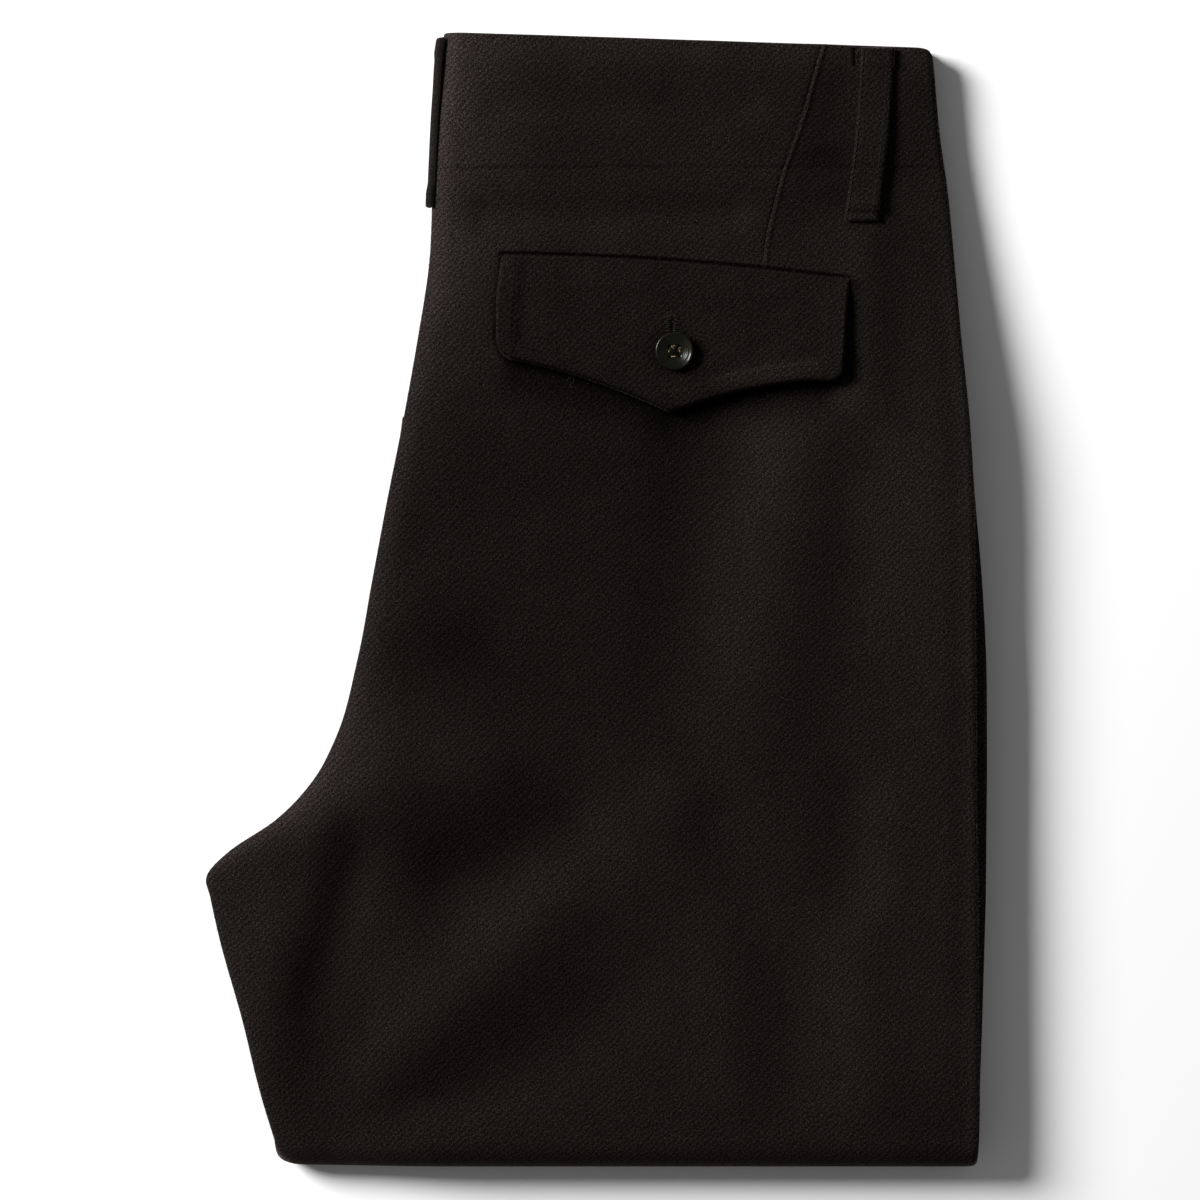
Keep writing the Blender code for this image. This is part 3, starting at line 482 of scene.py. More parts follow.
def woolMaterial(name, look=woolLook):
    # milled twill: fibre noise that nearly hides the diagonal ridges, with lighter flecks
    made, tree = nodeMaterial(name)
    uv = addNode(tree, "ShaderNodeUVMap", uv_map="clothMap").outputs["UV"]
    turned = addNode(tree, "ShaderNodeMapping", Vector=uv,
                     Rotation=(0, 0, math.radians(look["twillTurn"]))).outputs["Vector"]
    stretched = addNode(tree, "ShaderNodeMapping", Vector=turned,
                        Scale=look["fibreStretch"]).outputs["Vector"]
    twill = addNode(tree, "ShaderNodeTexWave", wave_type="BANDS", bands_direction="X",
                    Scale=math.pi / (10 * look["twillPitch"]), Distortion=7.0, Detail=3.0,
                    Detail_Scale=1.8, Detail_Roughness=0.7, Vector=turned)
    fibre = addNode(tree, "ShaderNodeTexNoise", Scale=look["fibreScale"], Detail=3.0,
                    Roughness=0.65, Vector=stretched)
    mottle = addNode(tree, "ShaderNodeTexNoise", Scale=look["mottleScale"], Detail=3.0,
                     Roughness=0.55, Vector=uv)
    both = addNode(tree, "ShaderNodeMix", data_type="FLOAT", Factor=1 - look["twillShare"],
                   A=twill.outputs["Fac"], B=fibre.outputs["Fac"]).outputs["Result"]
    color = addRamp(tree, both, zip(look["stops"], (look["dark"], look["mid"], look["light"])))
    flecks = addNode(tree, "ShaderNodeTexNoise", Scale=look["fibreScale"], Detail=2.0,
                     Roughness=0.5, Vector=stretched)
    few = addNode(tree, "ShaderNodeMapRange", From_Min=look["fleckFrom"],
                  From_Max=look["fleckTo"], Value=flecks.outputs["Fac"])
    speckled = addNode(tree, "ShaderNodeMix", data_type="RGBA", Factor=few.outputs["Result"],
                       A=color, B=look["fleck"])
    worn = addNode(tree, "ShaderNodeMapRange", From_Min=0.3, From_Max=0.7,
                   To_Min=1 - look["mottle"], To_Max=1 + look["mottle"],
                   Value=mottle.outputs["Fac"])
    # the painted light and shade of each piece, kept as an attribute, scales the colour
    nap = addNode(tree, "ShaderNodeAttribute", attribute_name="paintedShading")
    level = addNode(tree, "ShaderNodeMath", operation="MULTIPLY", Value=worn.outputs["Result"])
    tree.links.new(nap.outputs["Fac"], level.inputs[1])
    toned = addNode(tree, "ShaderNodeVectorMath", operation="SCALE",
                    Vector=speckled.outputs["Result"], Scale=level.outputs["Value"])
    bump = addNode(tree, "ShaderNodeBump", Strength=look["bumpStrength"],
                   Distance=look["bumpDistance"], Height=both)
    addShader(tree, Base_Color=toned.outputs["Vector"], Normal=bump.outputs["Normal"],
              Roughness=look["roughness"], Specular_IOR_Level=0.0, Sheen_Weight=look["sheen"],
              Sheen_Roughness=look["sheenRoughness"], Sheen_Tint=look["sheenTint"])
    return made


def patchShading(x, y):
    # each painted patch: its change of tone times the bell curve of the distance in half sizes
    total = np.zeros(np.broadcast(x, y).shape)
    for px, py, halfX, halfY, turn, change in zip(*lightAndShadePatches.values()):
        cos, sin = math.cos(math.radians(turn)), math.sin(math.radians(turn))
        along = ((x - px) * cos + (y - py) * sin) / halfX
        over = ((y - py) * cos - (x - px) * sin) / halfY
        total = total + change * bell(np.hypot(along, over), 1)
    return total


def paintedShading(x, y):
    # painted light and shade: 1 plus a gain times the slope along the way the key lamp shines, so
    # cloth facing the lamp is lighter; painted patches, and painted highlights on folded edges
    look, s = shadingLook, faceSizes(y)
    stepX, stepY = look["across"]
    slope = bandFolds(x + stepX, y + stepY) - bandFolds(x - stepX, y - stepY)
    tone = np.clip(1 + look["slopeGain"] * slope / 2 + patchShading(x, y), *look["limits"])
    left = look["edgeGain"] * s["drop"] / look["edgeDrop"]
    left = left * nearness(x - s["left"], s["dropReach"]) ** 2
    right = look["rightGain"] * nearness(s["right"] - x, look["rightReach"])
    waist = look["waistGain"] * nearness(belowWaist(x, y), edge["waistDropReach"])
    return tone * (1 + left + right * smoothRise(y, *look["rightFades"]) + waist)


threadLooks = {
    "dark thread": {"dark": (0.0012, 0.0010, 0.0009, 1), "light": (0.0060, 0.0048, 0.0044, 1),
                    "scale": 6000.0},
    "golden thread": {"dark": (0.08, 0.056, 0.020, 1), "light": (0.30, 0.22, 0.10, 1),
                      "scale": 6000.0},
    "loop thread": {"dark": (0.006, 0.0055, 0.0050, 1), "light": (0.030, 0.027, 0.024, 1),
                    "scale": 6000.0},
    "buttonhole thread": {"dark": (0.0018, 0.0018, 0.0013, 1),
                          "light": (0.0230, 0.0220, 0.0180, 1), "scale": 1500.0},
    "lint": {"dark": (0.009, 0.0072, 0.006, 1), "light": (0.027, 0.021, 0.018, 1),
             "scale": 900.0},
    "wool hair": {"dark": (0.008, 0.006, 0.0055, 1), "light": (0.060, 0.047, 0.041, 1),
                  "scale": 900.0},
}


def threadMaterial(name):
    # spun thread: a fine twist, or a change of tone from hair to hair
    look = threadLooks[name]
    made, tree = nodeMaterial(name)
    place = addNode(tree, "ShaderNodeTexCoord").outputs["Object"]
    ply = addNode(tree, "ShaderNodeTexNoise", Scale=look["scale"], Detail=2.0, Vector=place)
    color = addRamp(tree, ply.outputs["Fac"], [(0.35, look["dark"]), (0.68, look["light"])])
    addShader(tree, Base_Color=color, Roughness=0.8, Specular_IOR_Level=0.02)
    return made


hornLook = {
    "dark": (0.0014, 0.0015, 0.0004, 1), "warm": (0.0085, 0.0080, 0.0022, 1),
    "streakScale": 100.0, "ringScale": 480.0, "ringDepth": 0.00010, "roughness": 0.30,
    "specular": 0.16, "coat": 0.20, "coatRoughness": 0.12,
}


def hornMaterial(name, look=hornLook):
    # polished horn: streaks of warm brown in near black, with fine turning marks
    made, tree = nodeMaterial(name)
    place = addNode(tree, "ShaderNodeTexCoord").outputs["Object"]
    centred = addNode(tree, "ShaderNodeMapping", Vector=place, Location=(
        -buttonLook["x"] * mm, -buttonLook["y"] * mm, 0)).outputs["Vector"]
    streak = addNode(tree, "ShaderNodeTexNoise", Scale=look["streakScale"], Detail=3.0,
                     Distortion=0.5, Vector=centred)
    rings = addNode(tree, "ShaderNodeTexWave", wave_type="RINGS", rings_direction="Z",
                    Scale=look["ringScale"], Distortion=0.3, Vector=centred)
    bump = addNode(tree, "ShaderNodeBump", Strength=0.45, Distance=look["ringDepth"],
                   Height=rings.outputs["Fac"])
    color = addRamp(tree, streak.outputs["Fac"], [(0.42, look["dark"]), (0.78, look["warm"])])
    addShader(tree, Base_Color=color, Normal=bump.outputs["Normal"],
              Roughness=look["roughness"], Specular_IOR_Level=look["specular"],
              Coat_Weight=look["coat"], Coat_Roughness=look["coatRoughness"])
    return made


# Right back panel
panelLook = {
    "rowStep": 2.0, "fineStep": 0.5, "fineRows": ((172, 182), (129, 146)),
    "kneeRows": 20, "underRows": 26, "turnRows": 10, "hemRows": 20,
    "waistBody": 1.4, "kneeBody": 2.5, "hemBody": 0.9, "waistRound": 1.2, "hemRound": 0.8,
    "leftColumns": 94, "rightColumns": 44, "innerLeft": 18, "innerRight": 9,
    "innerDart": (-0.8, 0.8),
}
endKeeps = np.sqrt(1 - np.linspace(0.995, 0.0, 7) ** 2)  # a round edge, as shares of the wall


def reachRows(look):
    # reaches from waist to hem: fine on the upper face and round the folds
    top = [fold["waistY"] - look["waistBody"]]
    while top[-1] > fold["kneeY"] + look["kneeBody"]:
        close = any(low < top[-1] <= high for low, high in look["fineRows"])
        top.append(top[-1] - (look["fineStep"] if close else look["rowStep"]))
    ends = (0, kneeLength, turnStart, hemStart, hemReach - look["hemBody"])
    counts = [look[name] for name in ("kneeRows", "underRows", "turnRows", "hemRows")]
    runs = [np.linspace(*run)[1:] for run in zip(ends, ends[1:], counts)]
    return np.concatenate([fold["kneeY"] - np.array(top), [0.0], *runs])


def rowsWithEnds(look):
    # adds the rounded waist and hem ends; returns reaches and the share of the wall kept
    depthIn = np.sqrt(1 - endKeeps ** 2)
    waist = fold["kneeY"] - (fold["waistY"] - look["waistRound"] * (1 - depthIn))
    hem = hemReach - look["hemRound"] * (1 - depthIn[::-1])
    body = reachRows(look)
    keep = np.concatenate([endKeeps, np.ones(len(body)), endKeeps[::-1]])
    return np.concatenate([waist, body, hem]), keep[:, None]


def columnsAcross(s, left, right, offsets):
    # places across the flat of the cloth: even, with a close set at the dart
    a = mix(s["left"] + s["rollWidth"], s["dart"] + offsets[0], np.linspace(0, 1, left)[None, :-1])
    b = mix(s["dart"] + offsets[-1], s["right"] - edge["width"], np.linspace(0, 1, right)[None, 1:])
    return np.concatenate([a, s["dart"] + np.array(offsets)[None, :], b], axis=1)


def faceCurve(s, inset, rollAngles, across, edgeAngles):
    # one face of the wall at this inset from the outer one: an elliptical roll on the left,
    # the flat, and a small elliptical edge on the right
    roll, turn = np.asarray(rollAngles)[None, :], np.asarray(edgeAngles)[None, :]
    flat = 0 * across
    x = np.concatenate([
        s["left"] + s["rollWidth"] - (s["rollWidth"] - inset) * np.cos(roll),
        across,
        s["right"] - edge["width"] + (edge["width"] - inset) * np.sin(turn),
    ], axis=1)
    depth = np.concatenate([
        s["rollDepth"] - (s["rollDepth"] - inset) * np.sin(roll),
        flat + inset,
        s["wall"] - (s["wall"] - inset) * np.cos(turn),
    ], axis=1)
    return x, depth


def makeBackRight(material):
    # the wall's outer and inner faces in one closed ring per row, thinned to a round edge at
    # the waist and the hem
    look = panelLook
    reach, keep = rowsWithEnds(look)
    s = sectionSizes(reach)
    fine = columnsAcross(s, look["leftColumns"], look["rightColumns"], dartLook["columns"])
    plain = columnsAcross(s, look["innerLeft"], look["innerRight"], look["innerDart"])
    rollFine, rollPlain = np.radians(np.linspace(0, 81, 10)), np.radians([0, 20, 45, 68])
    edgeFine = np.radians(np.linspace(15, 90, 6))
    outerInset, innerInset = s["wall"] / 2 * (1 - keep), s["wall"] / 2 * (1 + keep)
    outerX, outerDepth = faceCurve(s, outerInset, rollFine, fine, edgeFine)
    innerX, innerDepth = faceCurve(s, innerInset, rollPlain, plain, edgeFine[[1, 3, 5]])
    x = np.concatenate([outerX, innerX[:, ::-1]], axis=1)
    depth = np.concatenate([outerDepth, innerDepth[:, ::-1]], axis=1)
    points = placeSections(s, x, depth)
    uv = np.stack([lengthAcross(x, depth, len(rollFine)), -reach[:, None] + 0 * x], axis=-1)
    return ringPiece("wool_back_right", points, material, uv, tone=sectionTone(s, points))


# Folded layers
layersLook = {
    "columnsLeft": 18, "columnsRight": 9, "coreColumns": 26, "coreClear": 2.0,
    "slotHeight": 1.0, "slotDepth": 14.0, "slotOut": 3.0,
    "slotEnds": ((14, 5), (-5, -8)),  # each slot's ends, from the left and the right edge
}
flapShadows = {  # on the panel: close round the flap, along its seam and farther below it
    "close": 0.78, "closeReach": (2.4, 4.2), "closeTurns": (60, 110), "closeLeft": 1.3,
    "closeStarts": (-1.5, 2.0), "seam": 0.6, "seamAt": -0.4, "seamHalf": 0.8,
    "seamEnds": (-1.0, 0.5), "far": 0.58, "farReach": (16.0, 13.0), "farTurns": (20, 75),
    "farEnds": (0, 10),
}


def layeredSide(s, outerEdge, sign, reachOut):
    # a layered edge from the top down: the near leg's folded layer, a groove, the far leg
    near = np.radians(np.array([0, 22, 45, 66, 82, 90]))[None, :]
    far = np.radians(np.array([12, 30, 55, 80, 105, 130, 155, 180]))[None, :]
    half = s["stack"] / 2
    base = outerEdge - sign * edge["width"]
    x = np.concatenate([
        base + sign * edge["width"] * np.cos(near),
        base + sign * (edge["width"] + reachOut) * np.sin(far),
    ], axis=1)
    depth = np.concatenate([
        s["cover"] + (half - s["cover"]) * np.sin(near),
        1.5 * half - half / 2 * np.cos(far),
    ], axis=1)
    return x, depth


def sectionTone(s, points):
    # painted light and shade of the upper face, with the painted shadow round the flap, fading out
    # on the runs below it
    x, y = points[..., 0], points[..., 1]
    tone = paintedShading(x, y) * flapShade(x, y)
    return mix(tone, 1.0, smoothRise(s["reach"], -1, kneeLength))


def flapShade(x, y):
    # painted shadow on the cloth round the flap: 1 less a bell curve of the distance beyond its
    # edge, and a wider and weaker one below the lower edge alone, with a painted dark line along
    # its seam
    look = flapShadows
    across, down = flapSpot(x, y)
    inside = np.minimum(across, flapLook["width"] - across)
    below = np.maximum(down - flapDepth(across), 0)
    beyond = np.maximum(below, np.maximum(across - flapLook["width"], -across * look["closeLeft"]))
    closeReach = mix(*look["closeReach"], smoothRise(across, *look["closeTurns"]))
    close = look["close"] * bell(beyond, closeReach) * smoothRise(down, *look["closeStarts"])
    seam = look["seam"] * bell(down - look["seamAt"], look["seamHalf"])
    farReach = mix(*look["farReach"], smoothRise(across, *look["farTurns"]))
    far = look["far"] * bell(below, farReach, 3) * smoothRise(inside, *look["farEnds"])
    seam = seam * smoothRise(inside, *look["seamEnds"])
    return (1 - close) * (1 - far * (below > 0)) * (1 - seam)


def makeLayers(material):
    # the three inner layers as one closed skin: a step off the centre back seam, up the inside
    # of the roll, across, down the layered right edge, the core below, and up the left side
    look = layersLook
    waist = fold["kneeY"] - fold["waistY"] + np.array([0.6, 0.8])
    reach = np.concatenate([waist, reachRows(panelLook), [hemReach]])
    s = sectionSizes(reach)
    across = columnsAcross(s, look["columnsLeft"], look["columnsRight"], panelLook["innerDart"])
    roll = np.radians([20, 45, 68])[None, :]
    seam = s["rollDepth"] + mix(s["cover"] - s["wall"], edge["seamStep"], s["body"])
    rollX = s["left"] + s["rollWidth"] - (s["rollWidth"] - s["cover"]) * np.cos(roll)
    rollDepth = s["rollDepth"] - (s["rollDepth"] - s["cover"]) * np.sin(roll)
    around = np.radians(np.linspace(0, 90, 14))[None, :]
    bodyX = s["left"] + s["rollWidth"] * (1 - np.cos(around))
    bodyDepth = seam + (s["stack"] - seam) * np.sin(around)
    legX, legDepth = layeredSide(s, s["left"], -1, 0.0)
    leftX, leftDepth = mix(legX, bodyX, s["body"]), mix(legDepth, bodyDepth, s["body"])
    rightX, rightDepth = layeredSide(s, s["right"], 1, s["second"])
    coreX, coreDepth = coreCurve(s, leftX[:, -1:], rightX[:, -1:])
    x = np.concatenate([s["left"], s["left"] + s["cover"], rollX, across, rightX, coreX,
                        leftX[:, :0:-1]], axis=1)
    depth = np.concatenate([seam, seam, np.maximum(rollDepth, s["cover"]),
                            0 * across + s["cover"], rightDepth, coreDepth,
                            leftDepth[:, :0:-1]], axis=1)
    points = placeSections(s, x, depth)
    uv = np.stack([lengthAcross(x, depth, 5), -reach[:, None] + 0 * x], axis=-1)
    tone = sectionTone(s, points)
    layers = ringPiece("wool_layers", points, material, uv, sharp=48, tone=tone)
    partLayers(layers, s, material)
    return layers


def coreCurve(s, left, right):
    # the underside from right to left: a quarter ellipse, the flat, a quarter ellipse
    rise = np.radians([20, 42, 66, 90])[None, :]
    inset = fold["coreInset"] * (1 - np.cos(rise))
    clear = fold["coreInset"] + layersLook["coreClear"]
    shares = np.linspace(0, 1, layersLook["coreColumns"])[None, :]
    flat = mix(right - clear, left + clear, shares)
    x = np.concatenate([right - inset, flat, left + inset[:, ::-1]], axis=1)
    share = np.concatenate([np.sin(rise) + 0 * right, 0 * flat + 1,
                            np.sin(rise[:, ::-1]) + 0 * right], axis=1)
    y = slopedY(s["y"], x)
    deepest = s["stack"] + fold["coreSlack"] + 0 * x
    inside = fold["coreTop"] * (1 - smoothRise(y, *fold["coreFalls"]))
    standing = np.maximum(packHeight(x, y) - inside, deepest)
    deepest = np.where(s["reach"] <= 0, standing, deepest)
    return x, s["stack"] + (deepest - s["stack"]) * share


def partLayers(layers, s, material):
    # two slots at the waist end show the layers' edges apart
    look = layersLook
    half = fold["waistHeight"] - (cloth["waistStack"] + edge["waistDrop"]) / 2
    heights = (half, half - cloth["waistStack"] / 4)
    inner, outer, thin = -look["slotDepth"], look["slotOut"], look["slotHeight"] / 2
    for height, (fromLeft, fromRight) in zip(heights, look["slotEnds"]):
        x = np.array([s["left"][0, 0] + fromLeft, s["right"][0, 0] + fromRight])
        y = fold["waistY"] + waistLift(x)
        corners = [(x[i], y[i] + past, height + up) for up in (-thin, thin)
                   for i, past in ((0, inner), (1, inner), (1, outer), (0, outer))]
        cutOut(layers, ringPiece("slot_cutter", np.reshape(corners, (2, 4, 3)), material))


# Pocket flap
eyeLook = {
    "x": 31.2, "y": 115.2, "radius": 0.9, "legs": 12.0, "apart": 0.38, "stitch": 2.2,
    "threadRadius": 0.17, "count": 14, "slitHalf": 0.5, "slitDepth": 0.45,
    "fan": (-30, 210), "fanUneven": 0.15, "bars": (0.7, 8.0), "barStep": 0.72,
    "barShare": 0.9, "barUneven": 0.25, "arch": 0.30, "sunk": 0.05,
}
flapLook = {
    "corner": (-38.7, 141.9), "across": (0.9975, -0.0705), "down": (-0.0705, -0.9975),
    "width": 143.0, "side": 43.3, "point": 17.3, "pointAt": 73.4, "pointHalf": (73.4, 62.0),
    "pointPower": 1.6, "bow": 2.0, "bulge": 0.9, "bulgeReach": 14.0,
    "cornerRadius": (9.0, 6.0), "thick": 2.6, "middle": 0.45, "seat": 0.45, "rise": 1.3,
    "rim": 1.5, "rimClear": 0.4, "topThick": 0.45, "topClear": 0.15, "topReach": (-1, 13),
    "reliefStarts": (0, 6), "uneven": 0.15, "ripple": 0.12,
    "stitchLeft": 6.0, "stitchRight": 7.8, "stitchBottom": 6.0, "stitchTop": 0.8,
    "stitchCorner": 3.0, "columns": 200, "columnsDense": 0.75, "rows": 92, "rowsDense": 0.8,
    "sheen": 0.09, "rightLift": 0.9, "rightCorner": (85, 135),
}
# painted shade on the flap at its rim and top, round the eye and round the button, and a painted
# highlight in a band above the rim
flapTones = {  # on the flap: its rim and top, a light band above the rim, the eye, the button
    "rim": (0.72, 0.12), "rimReach": 1.3, "rimTurns": (66, 84), "top": 0.35, "topReach": 1.3,
    "band": 0.5, "bandAt": 6.0, "bandHalf": 3.8, "bandRises": (74, 92), "bandFalls": (130, 139),
    "eye": 0.40, "eyeDown": 1.0, "eyeHalf": (3.3, 4.6),
    "button": 0.30, "buttonLeft": 1.0, "buttonUp": 0.6, "buttonHalf": 10.5,
}
flapEdges = {  # where the doubled cloth inside each edge ends, over what width, and how high
    "left": (6.2, 5.2, 0.85), "right": (7.0, 2.4, 0.42), "below": (5.2, 3.2, 0.55),
}


def flapBow(across):
    # the flap's top edge bows up between its ends, as half a sine wave
    return flapLook["bow"] * np.sin(math.pi * np.clip(across / flapLook["width"], 0, 1))


def flapDepth(across):
    # length of the flap below its top edge: straight sides, a soft point, round corners
    look = flapLook
    half = np.where(across < look["pointAt"], *look["pointHalf"])
    corner = np.where(across < look["pointAt"], *look["cornerRadius"])
    reach = nearness(np.abs(across - look["pointAt"]), half)
    inside = np.clip(corner - np.minimum(across, look["width"] - across), 0, corner)
    roundOff = corner - np.sqrt(corner ** 2 - inside ** 2)
    return look["side"] + look["point"] * reach ** look["pointPower"] - roundOff + flapBow(across)


def flapPlace(across, down):
    # from places on the flap to places in the plane
    look = flapLook
    down = down - flapBow(across)
    x = look["corner"][0] + across * look["across"][0] + down * look["down"][0]
    y = look["corner"][1] + across * look["across"][1] + down * look["down"][1]
    return x, y


def flapSpot(x, y):
    # the way back: across the flap, and down from its bowed top edge
    look = flapLook
    fromX, fromY = x - look["corner"][0], y - look["corner"][1]
    across = fromX * look["across"][0] + fromY * look["across"][1]
    down = fromX * look["down"][0] + fromY * look["down"][1]
    return across, down + flapBow(across)


def flapStand(down, share):
    # clearance under the flap: sunk in its seam at the top, standing off at its lower edge
    seated = mix(flapLook["topClear"], flapLook["seat"], smoothRise(down, *flapLook["topReach"]))
    return seated + flapLook["rise"] * smoothRise(share, 0.1, 1.0)


def flapLift(across, share):
    # the lower right corner curls up a little further
    corner = smoothRise(share, 0.3, 1.0) * smoothRise(across, *flapLook["rightCorner"])
    return flapLook["rightLift"] * corner


def flapToEdge(across, down):
    # distance to the left, right and lower edge, the last one square to the edge's slope
    places = np.linspace(0, flapLook["width"], 600)
    slope = np.interp(across, places, np.gradient(flapDepth(places), places))
    below = (flapDepth(across) - down) / np.sqrt(1 + np.clip(slope, -1.5, 1.5) ** 2)
    return across, flapLook["width"] - across, below


def flapRelief(across, down):
    # the rounded rim as a share of the thickness, and the rise over the doubled cloth inside
    look = flapLook
    left, right, below = flapToEdge(across, down)
    nearest = np.minimum(np.minimum(left, right), np.minimum(below, down + look["rimClear"]))
    rim = np.sqrt(np.clip(1 - nearness(nearest, look["rim"]) ** 2, 0, 1))
    uneven = look["uneven"] * np.sin(across * 0.9) * np.sin(down * 0.7 + 1)
    plateau = 0 * across * down
    for toEdge, (at, width, high) in zip((left, right, below), flapEdges.values()):
        plateau = np.maximum(plateau, high * (1 - smoothRise(toEdge + uneven, at, at + width)))
    return rim, plateau * smoothRise(down, *look["reliefStarts"])


def flapBody(x, y, across, down):
    # heights of the flap's lower and upper face over places in the plane
    look, eye = flapLook, eyeLook
    share = down / flapDepth(across)
    low = panelTop(x, y) + flapStand(down, share) + flapLift(across, share)
    thick = mix(look["topThick"], look["thick"], smoothRise(down, *look["topReach"]))
    rim, relief = flapRelief(across, down)
    away = np.hypot(x - eye["x"], y - np.clip(y, eye["y"] - eye["legs"], eye["y"]))
    slit = eye["slitDepth"] * bell(away, eye["slitHalf"], 4)
    ripple = look["ripple"] * np.sin(across / 3.1 + down / 5) * np.sin(down / 4.2)
    upper = low + thick * mix(look["middle"], 1, rim) + (relief + ripple - slit) * rim
    return low + thick * look["middle"] * (1 - rim), upper


def flapTop(x, y):
    # height of the flap's upper face over a place in the plane
    return flapBody(x, y, *flapSpot(x, y))[1]


def edgeDense(count, share):
    # shares from 0 to 1, packed more closely at both ends
    t = np.linspace(0, 1, count)
    return mix(t, 0.5 - 0.5 * np.cos(math.pi * t), share)


def flapTone(x, y, across, down):
    # painted light and shade on the flap: the panel's, scaled, with painted shade at the rim, the
    # top, round the eye and round the button, and a painted highlight in a band above the right
    # half's rim
    look, toRim = flapTones, flapDepth(across) - down
    dark = mix(*look["rim"], smoothRise(across, *look["rimTurns"]))
    tone = 1 - dark * bell(toRim, look["rimReach"])
    tone = tone * (1 - look["top"] * bell(down, look["topReach"]))
    band = smoothRise(across, *look["bandRises"]) * (1 - smoothRise(across, *look["bandFalls"]))
    tone = tone * (1 + look["band"] * band * bell(toRim - look["bandAt"], look["bandHalf"], 4))
    halfX, halfY = look["eyeHalf"]
    eye = np.hypot((x - eyeLook["x"]) / halfX, (y - eyeLook["y"] + look["eyeDown"]) / halfY)
    around = np.hypot(x - buttonLook["x"] + look["buttonLeft"],
                      y - buttonLook["y"] - look["buttonUp"])
    tone = tone * (1 - look["eye"] * bell(eye, 1, 4))
    tone = tone * (1 - look["button"] * bell(around, look["buttonHalf"], 6))
    return paintedShading(x, y) * shadingLook["flap"] * tone


def makeFlap(material):
    # an upper and a lower face that meet round the rim
    look = flapLook
    across = look["width"] * edgeDense(look["columns"], look["columnsDense"])[None, :]
    length = flapDepth(across)
    down = edgeDense(look["rows"], look["rowsDense"])[:, None] * length
    across = across + 0 * down
    x, y = flapPlace(across, down)
    bulge = look["bulge"] * bell(across, look["bulgeReach"])
    x = x - bulge * np.sin(math.pi * down / length) ** 2
    under, over = flapBody(x, y, across, down)
    rows, columns = x.shape
    top = np.arange(rows * columns).reshape(rows, columns)
    bottom = top.copy()
    bottom[1:-1, 1:-1] = rows * columns + np.arange((rows - 2) * (columns - 2)).reshape(
        rows - 2, columns - 2)
    faces = [grid.ravel()[gridQuads(rows, columns)] for grid in (top, bottom)]
    tone = flapTone(x, y, across, down)
    upper, lower = (np.stack([x, y, z, tone], axis=-1) for z in (over, under))
    points = np.concatenate([upper.reshape(-1, 4), lower[1:-1, 1:-1].reshape(-1, 4)])
    return newPiece("wool_pocket_flap", points[:, :3], np.concatenate(faces), material,
                    points[:, :2], sharp=80, tone=points[:, 3])


# Threads and stitches
nearlyUp = (0.03, 0.02, 1.0)  # a little off, so that no thread runs straight along it


def tubePiece(name, centres, radius, sides, material):
    # many tubes in one piece: rings of points round each line and a face over each end, with
    # one radius, or one for each station
    count, stations = centres.shape[:2]
    along = unit(np.gradient(centres, axis=1))
    beside = unit(np.cross(along, nearlyUp))
    over = np.cross(beside, along)
    turn = np.arange(sides)[:, None] * 2 * math.pi / sides
    ring = np.cos(turn) * beside[..., None, :] + np.sin(turn) * over[..., None, :]
    radii = np.broadcast_to(radius, (count, stations))[..., None, None]
    points = centres[..., None, :] + radii * ring
    start = np.arange(count)[:, None] * stations * sides
    quads = gridQuads(stations, sides, closed=True)[None] + start[..., None]
    first = np.arange(sides)[None, :] + start
    faces = [*quads.reshape(-1, 4), *first, *(first + (stations - 1) * sides)]
    return newPiece(name, points, faces, material)


def alongLine(points, distances):
    # points at these distances along a line of straight pieces
    points = np.asarray(points, float)
    run = np.concatenate([[0], np.cumsum(np.linalg.norm(np.diff(points, axis=0), axis=1))])
    return np.stack([np.interp(distances, run, column) for column in points.T], axis=-1)


def lineLength(points):
    # the sum of the distances from point to point
    return float(np.linalg.norm(np.diff(np.asarray(points, float), axis=0), axis=1).sum())


stitches = {
    "flap_topstitch": {"pitch": 2.7, "length": 1.9, "radius": 0.14},
    "loop_stitches": {"pitch": 2.2, "length": 1.5, "radius": 0.15},
    "loop_bar_tack": {"pitch": 2.0, "length": 2.0, "radius": 0.34},
    "dart_stitches": {"pitch": 2.4, "length": 1.0, "radius": 0.13},
}
stitchForm = {"height": 0.9, "dip": 6.5, "taper": (0.45, 0.95, 1.0, 0.95, 0.45)}  # in radii


def makeStitches(name, lines, surface, material):
    # low arches of thread along lines in the plane, each end dipping into the cloth
    stitch = stitches[name]
    groups = []
    for line in lines:
        total = lineLength(line)
        count = max(int(total // stitch["pitch"]), 1)
        starts = (np.arange(count) + 0.5) * total / count
        t = np.linspace(-0.5, 0.5, len(stitchForm["taper"]))
        place = alongLine(line, starts[:, None] + t[None, :] * stitch["length"])
        arch = stitch["radius"] * (stitchForm["height"] - stitchForm["dip"] * t ** 2)
        z = surface(place[..., 0], place[..., 1]) + arch
        groups.append(np.concatenate([place, z[..., None]], axis=-1))
    centres = np.concatenate(groups)
    taper = stitch["radius"] * np.array(stitchForm["taper"])
    return tubePiece(name, centres, taper, 6, material)


def flapStitchLine():
    # runs inside the flap's edges: down the left, along the point, up the right
    look = flapLook
    sides = look["stitchLeft"], look["width"] - look["stitchRight"]
    corner, top = look["stitchCorner"], look["stitchTop"]
    along = np.linspace(sides[0] + corner, sides[1] - corner, 120)
    slope = np.gradient(flapDepth(along), along)
    low = flapDepth(along) - look["stitchBottom"] * np.sqrt(1 + slope ** 2)
    across = np.concatenate([np.full(20, sides[0]), along, np.full(20, sides[1])])
    down = np.concatenate([np.linspace(top, low[0] - corner, 20), low,
                           np.linspace(low[-1] - corner, top, 20)])
    return np.stack(flapPlace(across, down), axis=-1)


